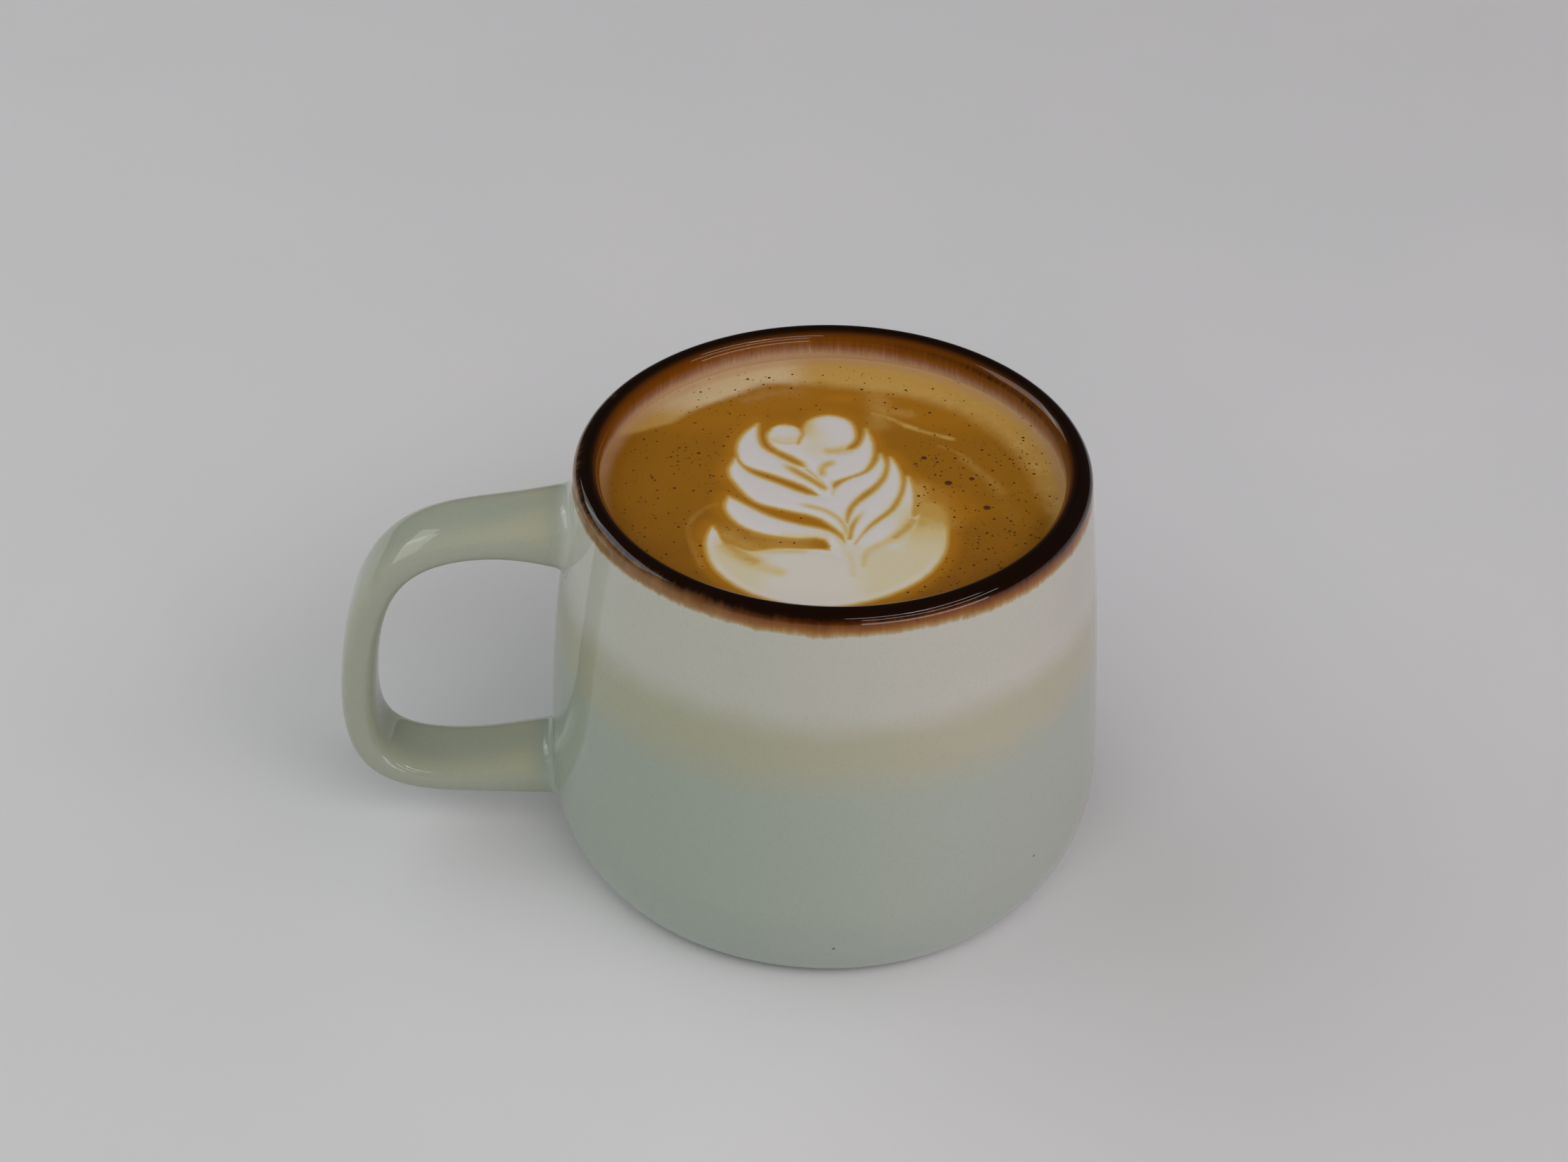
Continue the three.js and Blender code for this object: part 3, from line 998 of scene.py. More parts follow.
    def seam_distance(self, places: np.ndarray) -> np.ndarray:
        """Distance of places from the nearer joint's crease.

        Args:
            places: points in mm from the axis.

        Returns:
            Their distances in mm, infinite where no joint is near.
        """
        best = np.full(len(places), np.inf)
        near = (places[:, 0] < -self.seam_reach) & (np.abs(places[:, 1]) < self.seam_side)
        for seam in self.seams:
            gap = places[near][:, None] - seam[None]
            best[near] = np.minimum(best[near], np.linalg.norm(gap, axis=2).min(1))
        return best

    def edge_share(self, places: np.ndarray) -> np.ndarray:
        """Where the strap's glaze is thin.

        Args:
            places: points in mm from the axis.

        Returns:
            1 on the strap's four rounded edges, 0 on its flats and off the strap.
        """
        line, tangents, _ = self.curve()
        share = np.zeros(len(places))
        near = np.flatnonzero(places[:, 0] < -self.strap_reach)
        flat = places[near][:, (0, 2)]
        coarse = line[::self.coarse]
        nearest = np.linalg.norm(flat[:, None] - coarse[None], axis=2).argmin(1) * self.coarse
        offset = flat - line[nearest]
        normal = np.stack([tangents[nearest, 1], -tangents[nearest, 0]], -1)
        outward = np.abs((offset * normal).sum(1)) / (self.thickness / 2)
        across = np.abs(places[near, 1]) / (self.width / 2)
        share[near] = smooth_step(*self.thin_glaze, outward * 0.5 + across * 0.5)
        return share


@dataclass(frozen=True)
class Stroke:
    """A soft line in the milk or the crema: its points, half width and strength, in mm."""

    points: tuple[Point, ...]
    width: float
    strength: float = 1.0
    taper: float = 0.0
    fade: float = 0.0

    def share(self, places: np.ndarray) -> np.ndarray:
        """How strongly the line shows at each place.

        Args:
            places: 2-D points in mm.

        Returns:
            A share from 0 to the stroke's strength.
        """
        line = spline_points(self.points, STROKE_STEPS)
        reach = STROKE_REACH * self.width
        low, high = line.min(0) - reach, line.max(0) + reach
        near = np.flatnonzero(((places > low) & (places < high)).all(1))
        share = np.zeros(len(places))
        if not len(near):
            return share
        gap = np.full(len(near), np.inf)
        spot = np.zeros(len(near))
        for index, (start, end) in enumerate(zip(line[:-1], line[1:])):
            run = end - start
            along = np.clip((places[near] - start) @ run / max(run @ run, 1e-12), 0, 1)
            distance = np.linalg.norm(places[near] - start - along[:, None] * run, axis=1)
            spot = np.where(distance < gap, (index + along) / (len(line) - 1), spot)
            gap = np.minimum(gap, distance)
        width = self.width * (1 - self.taper * spot)
        rise = smooth_step(-1e-6, max(self.fade, 1e-6), spot)
        share[near] = self.strength * rise * np.exp(-(gap / width) ** 2)
        return share


@dataclass(frozen=True)
class Patch:
    """A soft-edged patch of the surface: the spans in mm across which it comes in, on x and on y."""

    x: tuple[Span, ...] = ()
    y: tuple[Span, ...] = ()

    def share(self, places: np.ndarray) -> np.ndarray:
        """How strongly the patch shows at each place.

        Args:
            places: 2-D points in mm.

        Returns:
            A share from 0 to 1.
        """
        share = np.ones(len(places))
        for axis, spans in enumerate((self.x, self.y)):
            for start, end in spans:
                share = share * smooth_step(start, end, places[:, axis])
        return share


# Golden lines and veils that run through the white of the figure
VEILS = (
    Stroke(((-9.7, 14.0), (-8.7, 12.8), (-7.2, 12.4), (-5.8, 12.6), (-4.9, 13.3)), 0.45, 0.42),
    Stroke(((-4.8, 17.2), (-4.4, 15.5), (-4.8, 14.1), (-5.3, 12.4)), 0.7, 0.85, 0.3),
    Stroke(((-3.9, 19.2), (-3.6, 17.6), (-3.9, 16.0)), 1.3, 0.6, 0.3),
    Stroke(((3.2, 11.0), (1.6, 10.4), (-0.3, 10.2)), 1.5, 0.66, 0.3),
    Stroke(((1.4, 7.6), (0.2, 6.9), (-1.0, 5.9), (-1.5, 4.8), (-1.5, 3.6)), 1.1, 0.74, 0.3, 0.35),
    Stroke(((-8.8, 7.4), (-6.8, 5.4), (-4.6, 3.2), (-2.6, 1.2), (-1.4, -0.2)), 1.1, 1.0, 0.35, 0.4),
    Stroke(((-4.2, 5.2), (-2.9, 3.4), (-1.5, 1.0), (-1.0, -0.8)), 0.5, 0.6, 0.4),
    Stroke(((0, 1.6), (0.1, -0.4), (0, -2.4)), 0.6, 0.35, 0.5),
    Stroke(((-7, -4.2), (-4, -5.4), (-1.8, -6.4), (0.2, -8.2), (1.5, -10.6), (2.0, -13)),
           0.75, 0.64, 0.2, 0.25),
    Stroke(((5.7, -5.2), (4.3, -7.8), (3.0, -10.6), (2.3, -14.2)), 0.75, 1.0, 0.3, 0.7),
    Stroke(((2.1, -16.5), (2.4, -20.0), (2.6, -24.0)), 0.8, 0.3, 0.0, 0.2),
    Stroke(((12.8, -9.0), (11.4, -11.5), (9.6, -13.8)), 1.4, 0.86, 0.3),
    Stroke(((10.4, -12.9), (8.5, -14.8), (6.2, -16.5), (4.8, -18.4), (4.3, -21.5)), 1.3, 0.52, 0.6),
    Stroke(((-17.4, -15.0), (-15.4, -17.8), (-13.0, -20.3)), 2.3, 0.84, 0.2),
    Stroke(((-14.0, -19.4), (-11.5, -21.8), (-9.0, -23.2)), 1.9, 0.5, 0.3),
    Stroke(((-13.0, -17.4), (-9.0, -17.5), (-5.0, -17.5)), 0.8, 0.5),
)

# Cream tints in the white of the figure
TINTS = (
    Stroke(((-9.4, 13.9), (-7.3, 13.4), (-5.2, 13.9)), 1.3, 0.9),
    Stroke(((-3.6, 20.4), (-3.4, 17.6), (-3.0, 15.0)), 1.7, 1.0),
    Stroke(((-2.6, 16.6), (-2.6, 13.8), (-2.2, 10.8)), 2.4, 0.6),
    Stroke(((-8.6, -13.4), (-5.0, -13.6), (-1.8, -13.8)), 1.0, 1.0),
    Stroke(((0.2, -12.6), (1.2, -16.0), (1.6, -19.0)), 0.9, 0.7),
)

# Where thin milk bridges or narrows the dark of a gap, as extra mm inside the figure
BRIDGES = (
    Stroke(((12.6, -9.4), (10.5, -13), (8.5, -15), (6, -16.7), (4.9, -18.5)), 1.5, 1.8),
    Stroke(((-17.5, -17), (-13.6, -19.6), (-10.5, -21.6)), 1.4, 0.9),
    Stroke(((-16.4, -17.2), (-13.0, -18.4), (-8.0, -17.8), (-2.0, -17.9)), 1.1, 1.0),
    Stroke(((0.1, -16.2), (0.8, -17.8), (1.4, -19.6)), 1.15, 2.4),
    Stroke(((-1.0, -18.6), (0.2, -17.8)), 0.7, 1.0),
    Stroke(((-19.2, -12.0), (-18.6, -14.4), (-17.6, -16.6)), 0.7, 0.6),
    Stroke(((-9.4, 9.8), (-7.0, 7.9), (-4.6, 5.6)), 1.6, 0.25),
    Stroke(((-4.4, 5.4), (-2.8, 3.2), (-1.5, 0.6), (-0.9, -2.0)), 1.2, 1.1),
    Stroke(((2.0, 10.4), (0.8, 10.0), (-0.4, 9.2), (-0.9, 7.8)), 1.05, 1.6),
    Stroke(((-1.4, 5.2), (-1.4, 2.0), (-1.2, -1.6)), 0.7, 0.6),
    Stroke(((12.1, 3.0), (10.8, -2.5), (9, -6.5), (6, -10), (3.6, -13.5)), 1.3, 0.16),
    Stroke(((10.0, 7.0), (8.4, 2.0), (6.0, -1.5), (2.9, -5.2)), 1.3, 0.16),
    Stroke(((-9.4, 16.7), (-8.4, 17.4)), 0.55, 0.5),
    Stroke(((-6.2, 17.4), (-5.3, 16.7)), 0.55, 0.5),
)

# Golden froth in the dark gap above the base and beside the right lobe
FROTH = (
    Stroke(((-17.4, -12.4), (-15.6, -14.8), (-13.0, -16.8)), 2.0, 0.8),
    Stroke(((-15.0, -15.0), (-10.0, -15.8), (-5.0, -16.0)), 1.6, 0.55),
    Stroke(((-13.4, -12.9), (-9.0, -14.3), (-4.4, -14.9)), 0.7, 0.6),
    Stroke(((14.0, 0.5), (14.3, -3.0), (14.4, -6.0), (13.6, -9.0)), 1.7, 0.8),
    Stroke(((16.6, -1.0), (17.6, -5.0), (18.6, -10.0)), 1.6, 0.28),
)

# Inner edge of the pale crescent at the back, from left to right
PALE_EDGE = (
    (-36.5, 13.5), (-30, 16.8), (-26, 18.8), (-21.5, 23.2), (-16, 26.6), (-10.5, 30.2), (-4, 30.2),
    (3, 29.2), (8, 27.6), (13, 26.6), (21.0, 22.0), (27.6, 14.4), (31.6, 5.6), (33.4, -3.5),
    (34.6, -10.5),
)

# Pale streaks in the crema
STREAKS = (
    Stroke(((-25.6, 22.2), (-24.5, 23.4), (-23.6, 24.4)), 1.3, 1.0),
    Stroke(((7, 21.5), (10, 20), (13.5, 17.3), (15.5, 16), (18.5, 14.6), (20.5, 13.7)), 0.6, 0.75),
    Stroke(((12.4, 17.9), (13.3, 17.4), (14.4, 16.7)), 0.65, 1.0),
    Stroke(((18.6, 14.5), (19.5, 14.1), (20.4, 13.7)), 0.6, 0.95),
    Stroke(((8.0, 27.5), (8.6, 23.5), (8.4, 18.5)), 3.2, 0.48),
    Stroke(((8, 22.6), (10.5, 21.8), (13.5, 21.2)), 1.8, 0.48),
    Stroke(((-15.0, 25.5), (-10.0, 27.5), (-4.5, 27.5)), 3.2, 0.26),
    Stroke(((17.5, 12.0), (20.4, 10.2), (22.5, 8.0)), 0.6, 0.42),
    Stroke(((21.6, 8.4), (25.7, 2), (27.5, -1.6)), 1.3, 0.42),
    Stroke(((23.5, 4.0), (26.5, -1.5), (28.8, -8.5)), 2.2, 0.24),
    Stroke(((-18.4, -4.8), (-20.2, -5.6), (-22.6, -8.6), (-23.2, -13.5), (-21.1, -21.6)), 0.8, 0.38),
)

# Thin milk at the top of the right lobe, and the worn edge of the gap at the lower left
HAZY_LOBE = Patch(x=((12.2, 14.5),), y=((-12.5, -6.0), (3.0, -1.0)))
WORN_GAP = Patch(x=((-18.0, -16.0), (-5.0, -11.0)), y=((-14.0, -16.0), (-21.0, -18.5)))

# Cream in the white: the base, more at its two ends and less at its rim, and the right leaves
BASE = Patch(y=((-14.5, -18.5),))
BASE_RIGHT = Patch(x=((1.0, 6.0),))
BASE_LEFT = Patch(x=((-9.0, -14.0),))
BASE_RIM = Patch(y=((-17.0, -21.0),))
RIGHT_LEAVES = Patch(x=((7.0, 13.0),), y=((-1.0, -8.0),))

# The crema: its lightest part, the warm part behind the figure, the shore and the pores
LIGHTEST = Patch(x=((-1.0, -9.0),), y=((19.0, 26.0),))
BEHIND = Patch(y=((12.0, 20.0),))
SHORE = Patch(y=((-16.0, 4.0),))
PORES = Patch(y=((24.0, 12.0),))


@dataclass(frozen=True)
class DrinkFinish:
    """Crema and milk foam, which share one colour rule so that the figure has no seam."""

    crema: Colour = (0.34, 0.136, 0.0072)
    deep: Colour = (0.26, 0.1, 0.008)
    warm: Colour = (0.46, 0.182, 0.0095)
    pale: Colour = (0.6, 0.345, 0.085)
    pale_light: Colour = (0.73, 0.54, 0.31)
    shore: Colour = (0.5, 0.3, 0.16)
    milk: Colour = (0.72, 0.67, 0.66)
    cream: Colour = (0.7, 0.6, 0.39)
    wash: Colour = (0.68, 0.53, 0.26)
    golden: Colour = (0.575, 0.333, 0.075)
    pore: Colour = (0.12, 0.042, 0.005)
    # Cells in a mm, largest radius as a share of a cell, and strength of each layer of pores
    pore_layers: tuple[tuple[float, float, float], ...] = ((0.8, 0.25, 1.0), (2.1, 0.24, 0.5))
    crema_rough: float = 0.3
    milk_rough: float = 0.42
    ior: float = 1.36

    def crema_colour(self, sheet: Sheet, place: Wire, edge: Wire, fine: Wire) -> Wire:
        """Colour of the brown crema: deeper towards the front, warmer beside the milk.

        Args:
            sheet: the material's sheet.
            place: the place in mm, pressed flat.
            edge: distance inside the figure's edge in mm.
            fine: noise of the size of the froth's grains.

        Returns:
            The colour.
        """
        _, y, _ = sheet.parts(place)
        swirl = sheet.noise(place, 7.0, 3.0, 0.55)
        depth = swirl * 0.5 + fine * 0.3 - y * 0.028
        colour = sheet.mix(self.crema, self.deep, sheet.step(depth, -0.1, 0.95))
        near = sheet.step(edge, -3.4, -0.7) * 0.75
        colour = sheet.mix(colour, self.warm, near)
        return sheet.mix(colour, self.warm, sheet.value_of("warm"))

    def pore_share(self, sheet: Sheet, place: Wire) -> Wire:
        """Share of dark pores: a coarse and a fine layer, each cell with a pore of its own size.

        Args:
            sheet: the material's sheet.
            place: the place in mm, pressed flat.

        Returns:
            The share.
        """
        layers = []
        for per_mm, radius, strength in self.pore_layers:
            cells = sheet.node("ShaderNodeTexVoronoi", {"distance": "EUCLIDEAN"},
                               {"Vector": place, "Scale": per_mm})
            size, _, _ = sheet.parts(cells.output("Color"))
            gap = cells.output("Distance") - (size * size * radius - 0.045)
            layers.append(sheet.step(gap, 0.03, -0.03) * strength)
        return reduce(add, layers)

    def build(self, name: str) -> bpy.types.Material:
        """Makes the material for one piece of the drink.

        Args:
            name: the material's name.

        Returns:
            The material.
        """
        sheet = Sheet(name)
        place = sheet.place() * (1.0, 1.0, 0.0)
        fine = sheet.noise(place, 0.45, 3.0, 0.6)
        froth = sheet.noise(place, 1.6, 3.0, 0.6)
        blotch = sheet.noise(place, 3.6, 3.0, 0.55)
        edge = sheet.value_of("figure") + fine * 0.12 + froth * 0.1
        colour = self.crema_colour(sheet, place, edge, fine)
        back = sheet.mix(self.pale, self.pale_light, sheet.value_of("light") + froth * 0.2)
        pale = sheet.value_of("pale")
        torn = pale + (blotch * 0.4 + froth * 0.3 + fine * 0.12) * pale * (1.35 - pale)
        colour = sheet.mix(colour, back, sheet.step(torn, 0.1, 1.0))
        colour = sheet.mix(colour, self.shore, sheet.value_of("shore") * (0.8 + blotch * 0.4))
        milk = sheet.mix(self.milk, self.cream, sheet.value_of("cream") + froth * 0.08)
        veil = sheet.value_of("veil") * (1.0 + froth * 0.25)
        gilded = sheet.step(veil, 0.45, 1.0)
        fringe = sheet.mix(self.wash, self.golden, gilded)
        milk = sheet.mix(milk, self.wash, sheet.step(veil, 0.0, 0.6))
        milk = sheet.mix(milk, self.golden, gilded)
        pore = self.pore_share(sheet, place) * sheet.step(edge, -0.1, -0.8)
        pore = pore * sheet.value_of("pores")
        colour = sheet.mix(colour, self.pore, pore)
        golden = sheet.step(edge, -0.8, -0.05)
        golden = golden + sheet.value_of("froth") * (1.0 - golden) * (0.9 + blotch * 0.5)
        colour = sheet.mix(colour, self.golden, golden)
        colour = sheet.mix(colour, fringe, sheet.step(edge, -0.2, 0.35))
        colour = sheet.mix(colour, milk, sheet.step(edge, 0.0, 0.8))
        relief = froth * 0.01 + fine * 0.007 - pore * 0.04
        duller = self.milk_rough - self.crema_rough
        rough = self.crema_rough + sheet.step(edge, -0.5, 0.5) * duller
        return sheet.surface(
            Base_Color=colour,
            Roughness=rough,
            IOR=self.ior,
            Normal=sheet.bump(relief, 0.8),
        )


@dataclass
class Drink:
    """The coffee up to its level and the foam figure that lies flush in it, in mm."""

    level: float = LEVEL
    foam_depth: float = FOAM_DEPTH
    fine: float = 0.28
    coarse: float = 0.62
    margin: float = 0.9
    into_wall: float = 0.25
    meniscus: float = 0.35
    meniscus_width: float = 0.9
    crown: float = 0.1
    around: int = 240
    finish: DrinkFinish = field(default_factory=DrinkFinish)

    def figure_edges(self) -> tuple[np.ndarray, np.ndarray]:
        """The figure's outline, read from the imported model.

        Returns:
            Its points in mm, and its edges as pairs of point numbers.
        """
        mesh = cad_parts["milk_foam"].data
        keys = {}
        points = []
        numbers = []
        for vertex in mesh.vertices:
            spot = (round(vertex.co.x / MM - AXIS_X, 3), round(vertex.co.y / MM, 3))
            if spot not in keys:
                keys[spot] = len(points)
                points.append(spot)
            numbers.append(keys[spot])
        top = self.level * MM - 1e-6
        count = {}
        for polygon in mesh.polygons:
            if min(mesh.vertices[v].co.z for v in polygon.vertices) < top:
                continue
            ring = [numbers[v] for v in polygon.vertices]
            for pair in zip(ring, ring[1:] + ring[:1]):
                key = tuple(sorted(pair))
                count[key] = count.get(key, 0) + 1
        edges = np.array([key for key, times in count.items() if times == 1])
        return np.array(points), edges

    @staticmethod
    def signed_distance(places: np.ndarray, points: np.ndarray, edges: np.ndarray) -> np.ndarray:
        """Distance from the figure's outline, above 0 inside it.

        Args:
            places: 2-D points in mm.
            points: the outline's points.
            edges: its edges, as pairs of point numbers.

        Returns:
            One distance for each place.
        """
        best = np.full(len(places), np.inf)
        inside = np.zeros(len(places), bool)
        for start, end in points[edges]:
            run = end - start
            along = np.clip((places - start) @ run / max(run @ run, 1e-12), 0, 1)
            gap = places - start - along[:, None] * run
            best = np.minimum(best, np.einsum("ij,ij->i", gap, gap))
            if start[1] != end[1]:
                spans = (places[:, 1] < start[1]) != (places[:, 1] < end[1])
                cross = start[0] + (places[:, 1] - start[1]) * run[0] / run[1]
                inside ^= spans & (places[:, 0] < cross)
        return np.where(inside, 1, -1) * np.sqrt(best)

    @staticmethod
    def lattice(step: float, low: np.ndarray, high: np.ndarray) -> np.ndarray:
        """Points of a triangular lattice.

        Args:
            step: distance between neighbours.
            low: the lowest corner of the box that it fills.
            high: the highest corner.

        Returns:
            2-D points.
        """
        rows = np.arange(low[1], high[1], step * math.sqrt(3) / 2)
        places = []
        for index, y in enumerate(rows):
            x = np.arange(low[0] + (index % 2) * step / 2, high[0], step)
            places.append(np.stack([x, np.full(len(x), y)], -1))
        return np.vstack(places)

    def plan(self, edge_radius: float) -> tuple[np.ndarray, np.ndarray, np.ndarray, np.ndarray]:
        """The flat triangulation of the whole surface.

        Args:
            edge_radius: radius of the drink's edge.

        Returns:
            Its points, triangles, which triangles are foam, and each point's signed distance.
        """
        outline, edges = self.figure_edges()
        low, high = outline.min(0) - self.margin, outline.max(0) + self.margin
        inner = self.lattice(self.fine, low, high)
        distance = self.signed_distance(inner, outline, edges)
        inner = inner[(np.abs(distance) > self.fine * 0.45) & (distance > -self.margin)]
        reach = np.array([edge_radius, edge_radius])
        outer = self.lattice(self.coarse, -reach, reach)
        outer = outer[np.hypot(outer[:, 0], outer[:, 1]) < edge_radius - self.coarse * 0.5]
        distance = self.signed_distance(outer, outline, edges)
        outer = outer[distance < -self.margin - self.fine * 0.5]
        angles = np.arange(self.around) / self.around * 2 * math.pi
        ring = edge_radius * np.stack([np.cos(angles), np.sin(angles)], -1)
        ring_edges = [(k, (k + 1) % self.around) for k in range(self.around)]
        places = np.vstack([ring, outline, inner, outer])
        fixed = ring_edges + [(int(a) + self.around, int(b) + self.around) for a, b in edges]
        result = delaunay_2d_cdt([Vector(spot) for spot in places.tolist()], fixed, [], 1, 1e-5)
        points = np.array([tuple(spot) for spot in result[0]])
        triangles = np.array([tuple(face) for face in result[2]])
        centres = points[triangles].mean(1)
        is_foam = self.signed_distance(centres, outline, edges) > 0
        return points, triangles, is_foam, self.signed_distance(points, outline, edges)

    @staticmethod
    def rim_edges(triangles: np.ndarray) -> list[tuple[int, int]]:
        """The edges round a patch of triangles, each in the direction of its one triangle.

        Args:
            triangles: point numbers of each triangle.

        Returns:
            The edges as pairs of point numbers.
        """
        pairs = np.vstack([triangles[:, (0, 1)], triangles[:, (1, 2)], triangles[:, (2, 0)]])
        present = {tuple(pair) for pair in pairs.tolist()}
        return [pair for pair in present if (pair[1], pair[0]) not in present]

    def marks(self, places: np.ndarray, distance: np.ndarray) -> dict[str, np.ndarray]:
        """What the materials read at each place of the surface.

        Args:
            places: 2-D points in mm.
            distance: signed distance from the figure's outline.

        Returns:
            Arrays by name: figure, veil, cream, froth, pale, light, shore, warm and pores.
        """
        return {
            "figure": self.figure_mark(places, distance),
            "veil": self.veil_mark(places),
            "cream": self.cream_mark(places, distance),
            "froth": self.strongest(FROTH, places),
            "pale": self.crescent(places),
            "light": LIGHTEST.share(places),
            **self.crema_marks(places, distance),
        }

    @staticmethod
    def figure_mark(places: np.ndarray, distance: np.ndarray) -> np.ndarray:
        """How far inside the white a place counts: less steeply so where the milk is thin.

        Args:
            places: 2-D points in mm.
            distance: signed distance from the figure's outline.

        Returns:
            The distance that the materials read.
        """
        hazy = HAZY_LOBE.share(places)
        figure = (distance - 0.2 * hazy) / (1 + 1.8 * hazy + 1.2 * WORN_GAP.share(places))
        for stroke in BRIDGES:
            figure = figure + stroke.share(places)
        return np.clip(figure, -5, 5)

    def veil_mark(self, places: np.ndarray) -> np.ndarray:
        """Share of golden veil in the white: its strokes, and all of the right lobe's tip.

        Args:
            places: 2-D points in mm.

        Returns:
            One share for each place.
        """
        x, y = places.T
        lobe = smooth_step(12.8, 14.3, x + 0.3 * np.maximum(0, -8 - y)) * smooth_step(-20, -6, y)
        return np.maximum(self.strongest(VEILS, places), lobe)

    def cream_mark(self, places: np.ndarray, distance: np.ndarray) -> np.ndarray:
        """Share of cream in the white: its strokes, the base and the right leaves.

        Args:
            places: 2-D points in mm.
            distance: signed distance from the figure's outline.

        Returns:
            One share for each place.
        """
        ends = 0.3 + 0.6 * BASE_RIGHT.share(places) + 0.55 * BASE_LEFT.share(places)
        broad = np.maximum(BASE.share(places) * ends, RIGHT_LEAVES.share(places))
        rim = smooth_step(1.8, 0.6, distance) * BASE_RIM.share(places)
        return np.maximum(self.strongest(TINTS, places), broad) * (1 - 0.5 * rim)

    @staticmethod
    def crema_marks(places: np.ndarray, distance: np.ndarray) -> dict[str, np.ndarray]:
        """The shore at the wall, the warm parts and the pores of the crema.

        Args:
            places: 2-D points in mm.
            distance: signed distance from the figure's outline.

        Returns:
            Arrays by name: shore, warm and pores.
        """
        x, y = places.T
        behind = smooth_step(14, 22, np.hypot(x, y - 4)) * BEHIND.share(places) * 0.55
        glow = np.exp(-((x - 2.5) / 5.0) ** 2 - ((y - 26.0) / 2.0) ** 2)
        pores = 0.4 + 0.6 * smooth_step(9, 17, np.abs(x)) * PORES.share(places)
        return {
            "shore": 0.8 * smooth_step(35.6, 37.4, np.hypot(x, y)) * SHORE.share(places),
            "warm": np.maximum(behind, glow),
            "pores": pores * smooth_step(-1.2, -3.0, distance),
        }

    @staticmethod
    def strongest(strokes: Sequence[Stroke], places: np.ndarray) -> np.ndarray:
        """The share of the strongest stroke at each place."""
        return np.max([stroke.share(places) for stroke in strokes], axis=0)

    def crescent(self, places: np.ndarray) -> np.ndarray:
        """Share of pale crema: the crescent at the back, its blob and the fine streaks.

        Args:
            places: 2-D points in mm.

        Returns:
            One share for each place.
        """
        bounds = spline_points(PALE_EDGE, 8)
        angle = np.arctan2(places[:, 1], places[:, 0])
        radius = np.hypot(places[:, 0], places[:, 1])
        edge_angle = np.unwrap(np.arctan2(bounds[:, 1], bounds[:, 0]))
        right_end, left_end = edge_angle.min(), edge_angle.max()
        order = np.argsort(edge_angle)
        turned = np.where(angle < right_end - 0.6, angle + 2 * math.pi, angle)
        limit = np.interp(turned, edge_angle[order], np.hypot(*bounds.T)[order])
        blur = 1.4 + 1.6 * smooth_step(-20, -8, places[:, 0])
        covered = smooth_step(-blur, blur, radius - limit)
        covered = covered * smooth_step(right_end - 0.5, right_end + 0.15, turned)
        covered = covered * smooth_step(left_end + 0.35, left_end - 0.1, turned)
        covered = covered * (1 - 0.25 * smooth_step(6, 34, places[:, 0]))
        return np.maximum(covered, self.strongest(STREAKS, places))

    def height(self, places: np.ndarray, distance: np.ndarray, edge_radius: float) -> np.ndarray:
        """Height of the surface: a faint crown on the figure and a small rise at the wall.

        Args:
            places: 2-D points in mm.
            distance: signed distance from the figure's outline.
            edge_radius: radius of the drink's edge.

        Returns:
            One height for each place.
        """
        radius = np.hypot(places[:, 0], places[:, 1])
        rise = self.meniscus * np.exp(-((edge_radius - radius) / self.meniscus_width))
        crown = self.crown * smooth_step(0.0, 1.6, distance)
        return self.level + rise - self.crown + crown

    def build(self, mug: Mug) -> list[bpy.types.Object]:
        """Builds the coffee and the foam figure as two closed meshes with one surface.

        Args:
            mug: the mug, whose hollow the coffee fills.

        Returns:
            The coffee and the figure.
        """
        edge_radius = mug.inner_radius(self.level) + self.into_wall
        places, triangles, is_foam, distance = self.plan(edge_radius)
        heights = self.height(places, distance, edge_radius)
        marks = self.marks(places, distance)
        foam = self.foam_piece(places, triangles[is_foam], heights, marks)
        coffee = self.coffee_piece(places, triangles, is_foam, heights, marks, mug)
        return [coffee, foam]

    def foam_piece(self, places: np.ndarray, triangles: np.ndarray, heights: np.ndarray,
                   marks: dict[str, np.ndarray]) -> bpy.types.Object:
        """The foam figure as a closed plate.

        Args:
            places: the surface's points.
            triangles: the triangles of the figure.
            heights: height of each point.
            marks: what the materials read at each point.

        Returns:
            The piece.
        """
        used, flat = np.unique(triangles, return_inverse=True)
        top = flat.reshape(-1, 3)
        count = len(used)
        upper = np.column_stack([places[used], heights[used]])
        lower = np.column_stack([places[used], np.full(count, self.level - self.foam_depth)])
        faces = top.tolist() + (top[:, ::-1] + count).tolist()
        for a, b in self.rim_edges(top):
            faces.append((b, a, a + count, b + count))
        points = (np.vstack([upper, lower]) + (AXIS_X, 0, 0)) * MM
        piece = mesh_object("foam_leaf_figure", points, faces)
        for name, values in marks.items():
            store(piece, name, np.tile(values[used], 2))
        self.sharpen(piece)
        dress(piece, self.finish.build("milk_foam"))
        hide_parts("milk_foam")
        return piece

